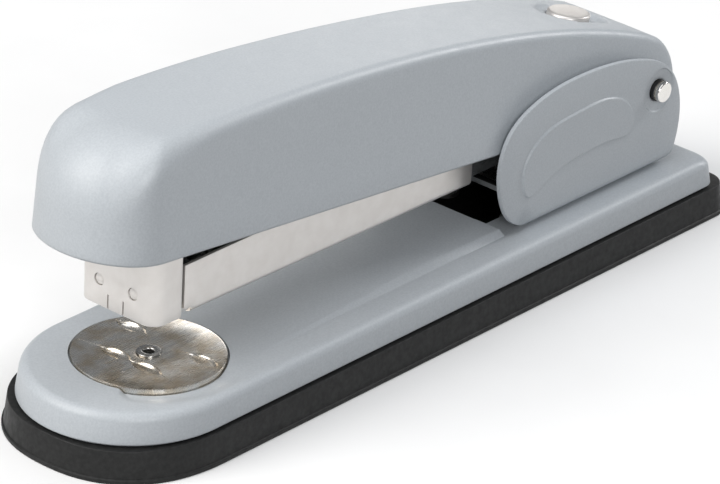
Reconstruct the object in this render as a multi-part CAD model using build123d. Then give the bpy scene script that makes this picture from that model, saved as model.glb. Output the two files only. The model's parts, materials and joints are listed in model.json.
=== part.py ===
from build123d import *
import os
from math import atan2, cos, hypot, pi, radians, sin, sqrt, tan

# A desk stapler with a front-loading staple drawer.
# Millimetres. X runs from the hinge at the rear to the nose, Z is up.
# The origin is on the table under the middle of the sole.

# Sole
sole_length = 156.4
sole_half_width = 20.2
sole_height = 6.1
sole_flare = 0.9
sole_front_reach = 22.5
sole_corner = 5.0
sole_wall = 4.4
sole_floor = 2.0
sole_rim_height = 1.6
sole_rim_wall = 1.2

# Base plate, a pressing that is open underneath
plate_half_width = 18.8
plate_front_inset = 1.3
plate_rear_inset = 3.9
plate_front_reach = 19.5
plate_corner = 3.0
plate_height = 5.3
plate_lean = 1.0
plate_wall = 1.2
plate_edge_round = 1.6

# Hump in the base plate behind the anvil, open at its rear
hump_half_width = 13.6
hump_height = 3.0
hump_rear = -19.5
hump_front = 39.0
hump_front_height = 0.1
hump_wall = 1.1
window_length = 7.0
window_half_width = 11.5

# Anvil
anvil_x = 53.5
anvil_radius = 13.0
anvil_thickness = 1.2
anvil_proud = 0.3
anvil_well_margin = 3.4
anvil_well_thickness = 1.0
pocket_row = 4.4
pocket_radius = 1.7
pocket_depth = 0.75
staple_pocket_inner = 0.15
staple_pocket_outer = 6.7
pin_pocket_inner = 4.9
pin_pocket_outer = 11.3
notch_start = 24.0
notch_end = 125.0
notch_depth = 0.75
eyelet_radius = 2.0
eyelet_bore = 1.0
eyelet_flange = 0.3
eyelet_lip = 0.25
washer_radius = 4.5
washer_thickness = 0.5

# Hinge
pin_x = -61.0
pin_z = 27.0
pin_radius = 1.9
pin_stand_out = 1.5
groove_width = 0.5
groove_depth = 0.5
groove_from_end = 0.7

# Bracket with its two cheeks
cheek_half_width = 14.3
cheek_thickness = 1.0
cheek_bend = 3.0
cheek_front_reach = 44.3
cheek_rear_reach = 6.8
cheek_rise = 9.7
panel_relief = 0.4
boss_radius = 4.4
boss_sunk = 0.3
rivet_radius = 1.5
rivet_head_radius = 2.6
rivet_head = 0.8
rivet_row_x = 12.0
rivet_row_y = 8.0

# Staple rail
rail_bottom = 21.9
rail_top = 30.4
rail_front = 54.7
rail_half_width = 8.6
cover_rear = -17.1
cover_thickness = 0.6
cover_floor = 0.5
frame_thickness = 0.6
frame_rear_reach = 5.0
ear_radius = 4.6
spacer_radius = 3.6

# Staple drawer and nose
staple_width = 13.0
staple_slack = 0.3
tray_thickness = 0.6
tray_drop = 0.5
drawer_travel = 100.0
tray_hold = 5.2
tray_blade_gap = 3.8
nose_front = 61.8
nose_gap = 0.6
nose_wall = 1.2
nose_corner = 2.7
nose_slit_y = 1.7
nose_slit_width = 0.4
nose_slit_height = 2.6
nose_mark_y = 3.75
nose_mark_drop = 3.8
nose_rise = 3.6
nose_mark_radius = 1.0
nose_mark_proud = 0.15
lip_height = 1.4
lip_thickness = 0.6

# Staple feed
rod_radius = 1.1
rod_z = 27.0
pusher_length = 9.0
feed_wire = 0.5
feed_coil_radius = 1.85
feed_turns = 24
anchor_length = 3.4
anchor_rise = 3.6
stop_radius = 2.0
stop_thickness = 0.8

# Cap
cap_half_width = 12.94
cap_front = 75.2
cap_front_reach = 10.93
cap_rim_front = 37.4
cap_rim_slope = 5.89
cap_height = 19.1
cap_rear_height = 14.4
cap_nose_lean = 6.3
cap_front_lean = 1.0
cap_rear_lean = 10.5
cap_wall = 1.0
cap_edge_round = 3.0
cap_rear_reach = 7.7

# Handle lever inside the cap
lever_half_width = 9.8
lever_thickness = 0.6
lever_drop = 4.0
press_angle = 4.2
blade_half_width = 6.3
blade_thickness = 0.6
tongue_thickness = 0.8
tongue_clear = 0.7
blade_rivet_y = 3.5
blade_rivet_rise = 4.2
blade_rivet_radius = 1.1
blade_rivet_head_radius = 1.65
blade_rivet_head = 0.55
stud_x = 29.0
stud_radius = 2.0
torsion_wire = 0.9
torsion_coil_radius = 3.5
torsion_turns = 5.5

# Release button and latch
button_x = -52.0
button_radius = 3.5
button_head = 1.3
button_sunk = 0.35
button_stem_radius = 1.6
button_stem = 3.8
retainer_thickness = 0.4
retainer_radius = 2.4
dish_radius = 5.0
dish_depth = 0.55
button_wire = 0.35
button_coil_radius = 2.35
button_turns = 2
latch_x = -44.5
latch_z = 33.2
latch_pin_radius = 1.25
latch_hub = 2.0
latch_half_width = 5.2
latch_prong = 1.2
latch_arm = 7.0
latch_thickness = 1.4

# Leaf spring under the rail
leaf_thickness = 0.5
leaf_half_width = 5.0
leaf_foot = 14.0
leaf_lip = 3.5
leaf_tip_x = -21.0

# Clearances
turn_fit = 0.05
slide_fit = 0.15
side_clear = 0.3
face_clear = 0.1
blade_clear = 0.4
seat_gap = 0.05
tool_reach = 5.0

# Places that follow from the sizes above
sole_front = sole_length / 2
sole_rear = -sole_length / 2
plate_seat = sole_height
plate_top = plate_seat + plate_height
plate_under = plate_top - plate_wall
plate_front = sole_front - plate_front_inset
plate_rear = sole_rear + plate_rear_inset
anvil_top = plate_top + anvil_proud
anvil_bottom = anvil_top - anvil_thickness
well_floor = anvil_bottom - face_clear
well_under = well_floor - anvil_well_thickness
cheek_inside = cheek_half_width - cheek_thickness
bracket_top = plate_top + cheek_thickness
frame_half_width = rail_half_width - cover_thickness
frame_inside = frame_half_width - frame_thickness
frame_bottom = rail_bottom + cover_floor
frame_floor = frame_bottom + frame_thickness
frame_top = rail_top - side_clear
nose_top = rail_top + nose_rise
frame_rear = pin_x - frame_rear_reach
tray_inside = (staple_width + staple_slack) / 2
tray_half_width = tray_inside + tray_thickness
tray_bottom = frame_floor + slide_fit
tray_floor = tray_bottom + tray_thickness
tray_top = rail_top - tray_drop
nose_rear = rail_front + nose_gap
nose_inside = nose_front - nose_wall
blade_front = nose_inside - blade_clear
blade_rear = blade_front - blade_thickness
feed_front = blade_rear - blade_clear
tray_arm_rear = rail_front - drawer_travel - tray_hold
tray_floor_rear = blade_front - drawer_travel + tray_blade_gap
anchor_front = tray_arm_rear - 2 * nose_gap
anchor_rear = anchor_front - anchor_length
lever_inside = lever_half_width - lever_thickness
cap_rear = pin_x - cap_rear_reach


def block(x0, x1, y0, y1, z0, z1):
    """A box between two corners."""
    return Pos((x0 + x1) / 2, (y0 + y1) / 2, (z0 + z1) / 2) * Box(x1 - x0, y1 - y0, z1 - z0)


def wide(x0, x1, half_width, z0, z1):
    """A box that is centred across the part."""
    return block(x0, x1, -half_width, half_width, z0, z1)


def bar_x(x0, x1, y, z, radius):
    """A round bar along X."""
    return Pos((x0 + x1) / 2, y, z) * Rot(0, 90, 0) * Cylinder(radius, x1 - x0)


def bar_y(x, z, radius, y0, y1):
    """A round bar along Y."""
    return Pos(x, (y0 + y1) / 2, z) * Rot(90, 0, 0) * Cylinder(radius, y1 - y0)


def bar_z(x, y, radius, z0, z1):
    """A round bar along Z."""
    return Pos(x, y, (z0 + z1) / 2) * Cylinder(radius, z1 - z0)


def side_face(*lines):
    """A flat face in the middle plane from lines that close a loop."""
    return make_face([edge for line in lines for edge in line.edges()])


def side_points(points):
    """Points of a side view, given as x and z, in the middle plane."""
    return [(x, 0, z) for x, z in points]


def across(face, half_width):
    """A side view made as wide as twice the half width."""
    return extrude(Pos(0, -half_width, 0) * face, amount=2 * half_width, dir=(0, 1, 0))


def both_sides(make):
    """The same piece on the near and the far side."""
    return [make(1), make(-1)]


def pressed_to_rest(shape):
    """Turn a piece of the handle from its pressed place up to its place at rest."""
    return shape.rotate(Axis((pin_x, 0, pin_z), (0, 1, 0)), -press_angle)


def tub_outline(half_width, front, reach, rear, corner, z):
    """Long outline with an elliptical front end and rounded rear corners."""
    nose = front - reach
    tail = rear + corner
    side = half_width - corner
    slant = corner * sqrt(0.5)
    edges = [
        EllipticalCenterArc((nose, 0), reach, half_width, start_angle=-90, arc_size=180),
        Line((nose, half_width), (tail, half_width)),
        ThreePointArc((tail, half_width), (tail - slant, side + slant), (rear, side)),
        Line((rear, side), (rear, -side)),
        ThreePointArc((rear, -side), (tail - slant, -side - slant), (tail, -half_width)),
        Line((tail, -half_width), (nose, -half_width)),
    ]
    return Pos(0, 0, z) * make_face(Wire(edges))


def sole_body(inset, z0, z1):
    """Flared block of the sole, drawn in all round by an inset."""
    faces = []
    for z in (z0, z1):
        narrow = inset + sole_flare * z / sole_height
        faces.append(
            tub_outline(
                sole_half_width - narrow,
                sole_front - narrow,
                sole_front_reach - narrow,
                sole_rear + narrow,
                max(sole_corner - narrow, sole_corner / 4),
                z,
            )
        )
    return loft(faces, ruled=True)


def plate_body(inset, z0, z1):
    """Block of the base plate, drawn in all round by an inset, leaning in towards its top."""
    faces = []
    for z in (z0, z1):
        narrow = inset + plate_lean * (z - plate_seat) / plate_height
        faces.append(
            tub_outline(
                plate_half_width - narrow,
                plate_front - narrow,
                plate_front_reach - narrow,
                plate_rear + narrow,
                max(plate_corner - narrow, plate_corner / 4),
                z,
            )
        )
    return loft(faces, ruled=True)


def make_sole():
    body = sole_body(0, 0, sole_height)
    rim_top = sole_height + sole_rim_height
    rim_inset = plate_wall + side_clear
    body += plate_body(rim_inset, sole_height, rim_top)
    hollow_inset = max(sole_wall, rim_inset + sole_rim_wall)
    hollow = plate_body(hollow_inset, sole_floor, rim_top + tool_reach)
    return body - hollow


def arch(x, half_width, base_z, height):
    """Half ellipse across the part, closed by a line along its base."""
    plane = Plane(origin=(x, 0, base_z), x_dir=(0, 1, 0), z_dir=(1, 0, 0))
    curve = EllipticalCenterArc((0, 0), half_width, height, start_angle=0, arc_size=180)
    return plane * make_face(Wire([curve, Line((-half_width, 0), (half_width, 0))]))


def hump_body():
    rear = arch(hump_rear, hump_half_width, plate_top, hump_height)
    front = arch(hump_front, hump_half_width, plate_top, hump_front_height)
    return loft([rear, front], ruled=True)


def hump_hollow():
    half_width = hump_half_width - hump_wall
    rear_height = hump_height + plate_wall - hump_wall
    rear = arch(hump_rear - face_clear, half_width, plate_under, rear_height)
    front = arch(hump_front, half_width, plate_under, hump_front_height)
    return loft([rear, front], ruled=True)


def notch_cut():
    """Sector beside the disc where a finger reaches its edge."""
    reach = anvil_radius + 2 * tool_reach
    steps = 6
    span = notch_end - notch_start
    corners = [(0, 0)]
    for step in range(steps + 1):
        turn = radians(notch_start + span * step / steps)
        corners.append((reach * cos(turn), reach * sin(turn)))
    sector = extrude(make_face(Polyline(*corners, close=True)), amount=tool_reach)
    floor = anvil_top - notch_depth - anvil_proud
    return Pos(anvil_x, 0, floor) * sector


def make_plate():
    outer = plate_body(0, plate_seat, plate_top)
    top_edges = outer.faces().sort_by(Axis.Z)[-1].edges()
    outer = fillet(top_edges, plate_edge_round)
    inner = plate_body(plate_wall, plate_seat, plate_under)
    body = outer - inner
    body += hump_body()
    body -= hump_hollow()
    body += bar_z(anvil_x, 0, anvil_radius + anvil_well_margin, well_under, plate_under)
    body -= notch_cut()
    body -= bar_z(anvil_x, 0, anvil_radius + side_clear, well_floor, plate_top + tool_reach)
    body -= bar_z(anvil_x, 0, eyelet_radius + turn_fit, 0, plate_top)
    window_rear = hump_rear - window_length
    body -= wide(window_rear, hump_rear, window_half_width, plate_seat, plate_top + tool_reach)
    for x, y in rivet_places():
        body -= bar_z(x, y, rivet_radius + seat_gap, 0, plate_top)
    body -= bar_z(leaf_rivet_x(), 0, rivet_radius + seat_gap, 0, plate_top)
    return body


def spindle(x, y0, y1):
    """Leaf-shaped pocket cutter: a lens turned about an axis across the part."""
    half = abs(y1 - y0) / 2
    arc = ThreePointArc((-half, 0), (0, pocket_radius), (half, 0))
    lens = make_face(Wire([arc, Line((half, 0), (-half, 0))]))
    solid = revolve(lens, Axis.X)
    height = anvil_top + pocket_radius - pocket_depth
    return Pos(x, (y0 + y1) / 2, height) * Rot(0, 0, 90) * solid


def make_anvil_disc():
    disc = bar_z(anvil_x, 0, anvil_radius, anvil_bottom, anvil_top)
    disc = chamfer(disc.faces().sort_by(Axis.Z)[-1].edges(), anvil_thickness / 6)
    disc -= bar_z(anvil_x, 0, eyelet_radius + seat_gap, 0, anvil_top + tool_reach)
    for side in (1, -1):
        disc -= spindle(anvil_x + pocket_row, side * staple_pocket_inner, side * staple_pocket_outer)
        disc -= spindle(anvil_x - pocket_row, side * pin_pocket_inner, side * pin_pocket_outer)
    return disc


def make_anvil_rivet():
    washer_top = well_under - face_clear
    washer_under = washer_top - washer_thickness
    flange_radius = eyelet_radius + 2 * eyelet_flange
    foot = bar_z(anvil_x, 0, flange_radius, washer_under - eyelet_flange, washer_under)
    shank = bar_z(anvil_x, 0, eyelet_radius, washer_under, anvil_top)
    lip = bar_z(anvil_x, 0, eyelet_radius + eyelet_flange, anvil_top, anvil_top + eyelet_lip)
    bore = bar_z(anvil_x, 0, eyelet_bore, 0, anvil_top + tool_reach)
    return foot + shank + lip - bore


def make_anvil_washer():
    top = well_under - face_clear
    ring = bar_z(anvil_x, 0, washer_radius, top - washer_thickness, top)
    return ring - bar_z(anvil_x, 0, eyelet_radius + seat_gap, 0, anvil_top)


def cheek_points(shape):
    """Points of a cheek's side view, given as shares of its length and height."""
    rear = pin_x - cheek_rear_reach
    length = cheek_front_reach + cheek_rear_reach
    height = pin_z + cheek_rise - plate_top
    return side_points([(rear + u * length, plate_top + v * height) for u, v in shape])


def cheek_outline():
    """Side view of a cheek: a flat foot under one rounded sweep."""
    points = cheek_points(
        [
            (0.79, 0.0),
            (0.908, 0.19),
            (0.978, 0.36),
            (1.0, 0.52),
            (0.953, 0.784),
            (0.817, 0.945),
            (0.56, 1.006),
            (0.216, 0.903),
            (0.068, 0.737),
            (0.0, 0.42),
            (0.019, 0.11),
            (0.04, 0.0),
        ]
    )
    return side_face(Spline(points), Line(points[-1], points[0]))


def panel_outline():
    """Teardrop panel raised on each cheek."""
    points = cheek_points(
        [
            (0.832, 0.263),
            (0.863, 0.4),
            (0.845, 0.56),
            (0.77, 0.69),
            (0.6, 0.75),
            (0.4, 0.74),
            (0.315, 0.656),
            (0.27, 0.49),
            (0.282, 0.4),
            (0.36, 0.39),
            (0.55, 0.395),
            (0.72, 0.325),
        ]
    )
    return side_face(Spline(points, periodic=True))


def rivet_places():
    """Four rivets in the bracket's floor, in two rows."""
    middle = pin_x + (cheek_front_reach - cheek_rear_reach) / 2
    return [(middle + sx * rivet_row_x, sy * rivet_row_y) for sx in (1, -1) for sy in (1, -1)]


def leaf_rivet_x():
    """The leaf spring's rivet stands between the bracket's rows of rivets."""
    return pin_x + (cheek_front_reach - cheek_rear_reach) / 2


def make_bracket():
    outer = across(cheek_outline(), cheek_half_width)
    floor_edges = outer.faces().sort_by(Axis.Z)[0].edges().filter_by(Axis.X)
    outer = fillet(floor_edges, cheek_bend)
    length = cheek_front_reach + cheek_rear_reach
    front = pin_x + length
    rear = pin_x - length
    top = pin_z + length
    inner = wide(rear, front, cheek_inside, bracket_top, top)
    inner_edges = inner.faces().sort_by(Axis.Z)[0].edges().filter_by(Axis.X)
    inner = fillet(inner_edges, cheek_bend - cheek_thickness)
    body = outer - inner
    for side in (1, -1):
        face = Pos(0, side * cheek_half_width, 0) * panel_outline()
        body += extrude(face, amount=panel_relief, dir=(0, side, 0))
        y0 = side * (cheek_half_width - boss_sunk)
        y1 = side * (cheek_half_width + panel_relief)
        body -= bar_y(pin_x, pin_z, boss_radius, min(y0, y1), max(y0, y1))
    body -= bar_y(pin_x, pin_z, pin_radius + seat_gap, -sole_half_width, sole_half_width)
    for x, y in rivet_places():
        body -= bar_z(x, y, rivet_radius + seat_gap, 0, pin_z)
    body -= bar_z(leaf_rivet_x(), 0, rivet_radius + seat_gap, 0, pin_z)
    return body


def headed_rivet(x, y, low, high):
    """A rivet with a head above and below what it holds."""
    shank = bar_z(x, y, rivet_radius, low, high)
    upper = bar_z(x, y, rivet_head_radius, high, high + rivet_head)
    lower = bar_z(x, y, rivet_head_radius, low - rivet_head, low)
    upper = chamfer(upper.faces().sort_by(Axis.Z)[-1].edges(), rivet_head / 2)
    return shank + upper + lower


def make_bracket_rivets():
    return [headed_rivet(x, y, plate_under, bracket_top) for x, y in rivet_places()]


def make_leaf_rivet():
    return headed_rivet(leaf_rivet_x(), 0, plate_under, bracket_top + leaf_thickness)


def make_leaf():
    """Leaf spring: a flat foot, a rising blade and a tip that lies under the rail."""
    foot_rear = leaf_rivet_x() - leaf_foot / 2
    foot_front = leaf_rivet_x() + leaf_foot / 2
    tip_top = frame_bottom - side_clear
    tip_bottom = tip_top - leaf_thickness
    tip_bend = leaf_tip_x - leaf_lip
    steps = [
        (foot_rear, bracket_top),
        (foot_front, bracket_top),
        (tip_bend, tip_bottom),
        (leaf_tip_x, tip_bottom - leaf_thickness),
    ]
    upper = [(x, z + leaf_thickness) for x, z in reversed(steps)]
    face = make_face(Polyline(side_points(steps + upper), close=True))
    hole = bar_z(leaf_rivet_x(), 0, rivet_radius + seat_gap, 0, pin_z)
    return across(face, leaf_half_width) - hole


def pin_end():
    return cheek_half_width + panel_relief + pin_stand_out


def groove_span():
    """Where the clip's groove lies along the pin, measured from its middle."""
    outer = pin_end() - groove_from_end
    return outer - groove_width, outer


def make_pin():
    end = pin_end()
    body = bar_y(pin_x, pin_z, pin_radius, -end, end)
    body = chamfer(body.edges().filter_by(GeomType.CIRCLE), groove_depth)
    low, high = groove_span()
    for side in (1, -1):
        y0, y1 = sorted((side * low, side * high))
        ring = bar_y(pin_x, pin_z, pin_radius + groove_depth, y0, y1)
        ring -= bar_y(pin_x, pin_z, pin_radius - groove_depth, y0, y1)
        body -= ring
    return body


def make_clip(side):
    """Ring in the pin's groove, open at its lower side."""
    low, high = groove_span()
    y0, y1 = sorted((side * (low + seat_gap), side * (high - seat_gap)))
    bore = pin_radius - groove_depth + seat_gap
    ring = bar_y(pin_x, pin_z, pin_radius, y0, y1)
    ring -= bar_y(pin_x, pin_z, bore, y0, y1)
    half = pin_radius / 3
    return ring - block(pin_x - half, pin_x + half, y0, y1, pin_z - pin_radius, pin_z)


def make_spacer(side):
    """Ring on the pin between the rail and the handle's flange."""
    low = frame_half_width + face_clear
    high = lever_inside - face_clear
    y0, y1 = sorted((side * low, side * high))
    ring = bar_y(pin_x, pin_z, spacer_radius, y0, y1)
    return ring - bar_y(pin_x, pin_z, pin_radius + seat_gap, y0, y1)


def rounded_ear(x, z, radius, half_width, low):
    """A lug across the part, round at its top and straight down to a level."""
    top = bar_y(x, z, radius, -half_width, half_width)
    return top + wide(x - radius, x + radius, half_width, low, z)


def make_frame():
    outer = wide(frame_rear, rail_front, frame_half_width, frame_bottom, frame_top)
    outer += rounded_ear(pin_x, pin_z, ear_radius, frame_half_width, frame_bottom)
    outer += rounded_ear(latch_x, latch_z, latch_hub, frame_half_width, frame_bottom)
    roof = latch_z + tool_reach
    inner = wide(frame_rear - tool_reach, rail_front + tool_reach, frame_inside, frame_floor, roof)
    body = outer - inner
    body -= bar_y(pin_x, pin_z, pin_radius + turn_fit, -rail_half_width, rail_half_width)
    body -= bar_y(latch_x, latch_z, latch_pin_radius + seat_gap, -rail_half_width, rail_half_width)
    return body


def make_cover():
    outer = wide(cover_rear, rail_front, rail_half_width, rail_bottom, rail_top)
    lower = outer.faces().sort_by(Axis.Z)[0].edges().filter_by(Axis.X)
    outer = fillet(lower, cover_floor)
    inner = wide(cover_rear, rail_front, frame_half_width, frame_bottom, rail_top)
    return outer - inner


def make_tray():
    walls = wide(tray_arm_rear, feed_front, tray_half_width, tray_bottom, tray_top)
    walls -= wide(tray_arm_rear, feed_front, tray_inside, tray_floor, tray_top)
    gap = wide(tray_arm_rear, tray_floor_rear, tray_inside, tray_bottom, tray_floor)
    body = walls - gap
    lip_front = tray_floor_rear + lip_thickness
    lips = wide(tray_floor_rear, lip_front, latch_half_width, tray_floor, tray_floor + lip_height)
    prong_inside = latch_half_width - latch_prong
    lips -= wide(tray_floor_rear, lip_front, prong_inside, tray_floor, tray_top)
    return body + lips


def mark_places():
    return [(side * nose_mark_y, rail_top - nose_mark_drop) for side in (1, -1)]


def make_nose():
    outer = wide(nose_rear, nose_front, rail_half_width, rail_bottom, nose_top)
    corners = outer.edges().filter_by(Axis.Z).sort_by(Axis.X)[-2:]
    outer = fillet(corners, nose_corner)
    inner = wide(nose_rear, nose_inside, tray_half_width, rail_bottom, nose_top)
    inner_corners = inner.edges().filter_by(Axis.Z).sort_by(Axis.X)[-2:]
    inner = fillet(inner_corners, blade_clear)
    body = outer - inner
    half = nose_slit_width / 2
    slit_top = rail_bottom + nose_slit_height
    for side in (1, -1):
        y = side * nose_slit_y
        body -= block(nose_inside, nose_front, y - half, y + half, rail_bottom, slit_top)
    for y, z in mark_places():
        body -= bar_x(nose_inside, nose_front, y, z, nose_mark_radius + seat_gap)
    return body


def make_nose_rivets():
    rivets = []
    for y, z in mark_places():
        rivet = bar_x(nose_inside, nose_front + nose_mark_proud, y, z, nose_mark_radius)
        rivets.append(chamfer(rivet.faces().sort_by(Axis.X)[-1].edges(), nose_mark_proud))
    return rivets


def pusher_rear():
    return feed_front - face_clear - pusher_length


def make_pusher():
    front = feed_front - face_clear
    low = tray_floor + slide_fit
    high = tray_top - slide_fit
    body = wide(pusher_rear(), front, tray_inside - slide_fit, low, high)
    rear_edges = body.faces().sort_by(Axis.X)[0].edges()
    body = chamfer(rear_edges, nose_gap)
    body -= bar_x(pusher_rear(), front, 0, rod_z, rod_radius + turn_fit)
    return body - bar_x(stop_rear(), front, 0, rod_z, stop_radius + side_clear)


def stop_rear():
    """The rod's stop lies in a counterbore at the pusher's front."""
    return feed_front - pusher_length / 3


def make_rod():
    front = stop_rear() + stop_thickness + 2 * side_clear
    rod = bar_x(anchor_rear, front, 0, rod_z, rod_radius)
    return chamfer(rod.faces().sort_by(Axis.X)[-1].edges(), rod_radius / 4)


def make_rod_stop():
    start = stop_rear() + face_clear
    ring = bar_x(start, start + stop_thickness, 0, rod_z, stop_radius)
    return ring - bar_x(start, start + stop_thickness, 0, rod_z, rod_radius)


def make_anchor():
    top = rod_z + anchor_rise
    body = wide(anchor_rear, anchor_front, frame_inside, frame_floor, top)
    return body - bar_x(anchor_rear, anchor_front, 0, rod_z, rod_radius)


def arc_middle(start, way, end):
    """Middle of the arc that leaves a point along a direction and reaches another point."""
    chord = end - start
    along = chord.normalized()
    aside = way - along * way.dot(along)
    half_turn = atan2(aside.length, way.dot(along))
    return (start + end) / 2 + aside.normalized() * (chord.length / 2 * tan(half_turn / 2))


def biarc(start, start_way, end, end_way):
    """Two arcs that join two points and leave them along the given directions."""
    chord = end - start
    ways = start_way + end_way
    square = 2 * (1 - start_way.dot(end_way))
    middle = chord.dot(ways)
    if square > 1e-9:
        reach = (-middle + sqrt(middle * middle + square * chord.dot(chord))) / square
    else:
        reach = chord.dot(chord) / (2 * middle)
    joint = (start + start_way * reach + end - end_way * reach) / 2
    first = ThreePointArc(start, arc_middle(start, start_way, joint), joint)
    second = ThreePointArc(joint, arc_middle(end, -end_way, joint), end)
    return [first, second]


def coil_path(radius, length, turns, start_angle=0.0):
    """Helix about Z, as two arcs for each half turn."""
    steps = round(2 * turns)
    rise = length / (pi * steps)
    points = []
    ways = []
    for step in range(steps + 1):
        turn = start_angle + pi * step
        points.append(Vector(radius * cos(turn), radius * sin(turn), length * step / steps))
        ways.append(Vector(-radius * sin(turn), radius * cos(turn), rise).normalized())
    edges = []
    for step in range(steps):
        edges += biarc(points[step], ways[step], points[step + 1], ways[step + 1])
    return edges, points, ways


def least_gap(path, wire, turns, name):
    """Print the least clear distance between one turn of a spring and the next."""
    per_turn = 24
    count = round(turns * per_turn)
    points = [path.position_at(step / count) for step in range(count + 1)]
    gap = None
    for first in range(len(points)):
        for second in range(first + per_turn // 2, len(points)):
            apart = (points[first] - points[second]).length - wire
            if gap is None or apart < gap:
                gap = apart
    print(name, "least gap to itself", round(gap, 3))


def wind(edges, wire, turns, name):
    """Sweep a round wire along a path and report its least gap."""
    path = Wire(edges)
    least_gap(path, wire, turns, name)
    start = path @ 0
    way = path % 0
    section = Plane(origin=start, z_dir=-way) * Circle(wire / 2)
    return sweep(section, path=path)


def make_feed_spring():
    front = pusher_rear() - face_clear - feed_wire / 2
    rear = anchor_front + face_clear + feed_wire / 2
    edges, points, ways = coil_path(feed_coil_radius, front - rear, feed_turns)
    coil = wind(edges, feed_wire, feed_turns, "pusher_spring")
    return Pos(rear, 0, rod_z) * Rot(0, 90, 0) * coil


def make_torsion_spring():
    """Coil about the pin with one leg on the rail's floor and one under the lever."""
    length = 2 * (frame_inside - 2 * torsion_wire)
    edges, points, ways = coil_path(torsion_coil_radius, length, torsion_turns)
    leg = torsion_coil_radius + torsion_wire
    first_leg = Line(points[0] - ways[0] * leg, points[0])
    last_leg = Line(points[-1], points[-1] + ways[-1] * leg)
    coil = wind([first_leg] + edges + [last_leg], torsion_wire, torsion_turns, "handle_spring")
    return Pos(pin_x, length / 2, pin_z) * Rot(90, 0, 0) * Rot(0, 0, 90) * coil


def rim_height(x):
    """Height of the cap's lower rim, which rises towards the nose."""
    return cap_rim_front + tan(radians(cap_rim_slope)) * (x - cap_front)


def cap_top_points():
    """Side view of the cap's top from the front face round to the rear end.

    In front, points are shares of the length from nose to pin and of the height over the rim.
    At the rear they are shares of the reach behind the pin and of the height over it.
    """
    front_shape = [
        (-0.016, 0.157),
        (0.012, 0.565),
        (0.054, 0.9),
        (0.125, 1.0),
        (0.321, 0.924),
        (0.504, 0.785),
        (0.695, 0.55),
    ]
    rear_shape = [
        (-1.818, 1.0),
        (0.065, 0.597),
        (0.74, 0.306),
        (1.0, -0.069),
    ]
    length = cap_front - pin_x
    front = [(cap_front - u * length, cap_rim_front + v * cap_height) for u, v in front_shape]
    rear = [(pin_x - u * cap_rear_reach, pin_z + v * cap_rear_height) for u, v in rear_shape]
    return front + rear


def moved_in(points, depth):
    """Points of a side view moved inwards, square to the line through their neighbours."""
    moved = []
    for index, (x, z) in enumerate(points):
        before = points[max(index - 1, 0)]
        after = points[min(index + 1, len(points) - 1)]
        run = after[0] - before[0]
        rise = after[1] - before[1]
        size = hypot(run, rise)
        moved.append((x - depth * rise / size, z + depth * run / size))
    return moved


def cap_profile(depth):
    """Side view of the cap, drawn in by a depth and open below its rim."""
    points = moved_in(cap_top_points(), depth)
    front, rear = points[0], points[-1]
    low = rim_height(cap_rear) - tool_reach
    corners = [rear, (rear[0], low), (front[0], low), front]
    return side_face(Spline(side_points(points)), Polyline(side_points(corners)))


def cap_plan(depth):
    """Plan of the cap as a leaning block that stands on the rim."""
    slope = Plane(
        origin=(cap_front, 0, cap_rim_front),
        x_dir=(cos(radians(cap_rim_slope)), 0, sin(radians(cap_rim_slope))),
        z_dir=(-sin(radians(cap_rim_slope)), 0, cos(radians(cap_rim_slope))),
    )
    height = 4 * tool_reach + cap_rear_reach
    length = cap_front - cap_rear + tool_reach
    nose = -cap_front_reach
    faces = []
    for level in (0, height):
        front_half = cap_half_width - depth - level * tan(radians(cap_front_lean))
        rear_half = cap_half_width - depth - level * tan(radians(cap_rear_lean))
        reach = cap_front_reach - depth - level * tan(radians(cap_nose_lean))
        edges = [
            EllipticalCenterArc((nose, 0), reach, front_half, start_angle=-90, arc_size=180),
            Line((-length, rear_half), (-length, -rear_half)),
        ]
        for side in (1, -1):
            front, rear = (nose, side * front_half), (-length, side * rear_half)
            back = (-length - nose, side * (rear_half - front_half))
            edges.append(Spline(front, rear, tangents=[(-1, 0), back]))
        faces.append(slope * Pos(0, 0, level) * make_face(Wire(edges)))
    return loft(faces, ruled=True)


def cap_block(depth, edge_round):
    """Cap without its hollow, its upper edges and rear corners rounded."""
    body = cap_plan(depth) & across(cap_profile(depth), 2 * cap_half_width)
    edges = []
    for edge in body.edges():
        middle = edge @ 0.5
        way = edge % 0.5
        above_rim = middle.Z > rim_height(middle.X) + face_clear
        straight_across = abs(way.Y) > 0.99 and edge.geom_type == GeomType.LINE
        up_the_side = abs(middle.Y) > cap_half_width / 2 and middle.X > rail_front
        if above_rim and not straight_across and not up_the_side:
            edges.append(edge)
    return fillet(edges, edge_round)


def button_seat():
    """Plane on the cap's top at the button, facing out of the cap."""
    probe = Line((button_x, 0, pin_z), (button_x, 0, cap_rim_front + pin_z))
    curve = Spline(side_points(cap_top_points()))
    spot = curve.distance_to_with_closest_points(probe)[1]
    down_slope = curve % curve.param_at_point(spot)
    return Plane(origin=spot, x_dir=-down_slope, z_dir=(down_slope.Z, 0, -down_slope.X))


def on_seat(radius, low, high):
    """A round bar square to the cap's top at the button, between two depths."""
    return button_seat() * Pos(0, 0, (low + high) / 2) * Cylinder(radius, high - low)


def make_cap():
    outer = cap_block(0, cap_edge_round)
    inner = cap_block(cap_wall, cap_edge_round - cap_wall)
    body = outer - inner
    body += on_seat(dish_radius + cap_wall, -dish_depth - cap_wall, -cap_wall / 2)
    body -= on_seat(dish_radius, -dish_depth, tool_reach)
    body -= on_seat(button_radius + side_clear, -lever_drop, tool_reach)
    return body - bar_y(pin_x, pin_z, pin_radius + turn_fit, -cap_half_width, cap_half_width)


def lever_top(depth):
    """Side view of the lever's web at a depth under the cap's top, from the tongue to the pin."""
    points = moved_in(cap_top_points(), depth)
    return [(lever_front(), points[3][1])] + points[4:9]


def web_height():
    """Height of the lever's web at its front end."""
    return moved_in(cap_top_points(), lever_drop)[3][1]


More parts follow.
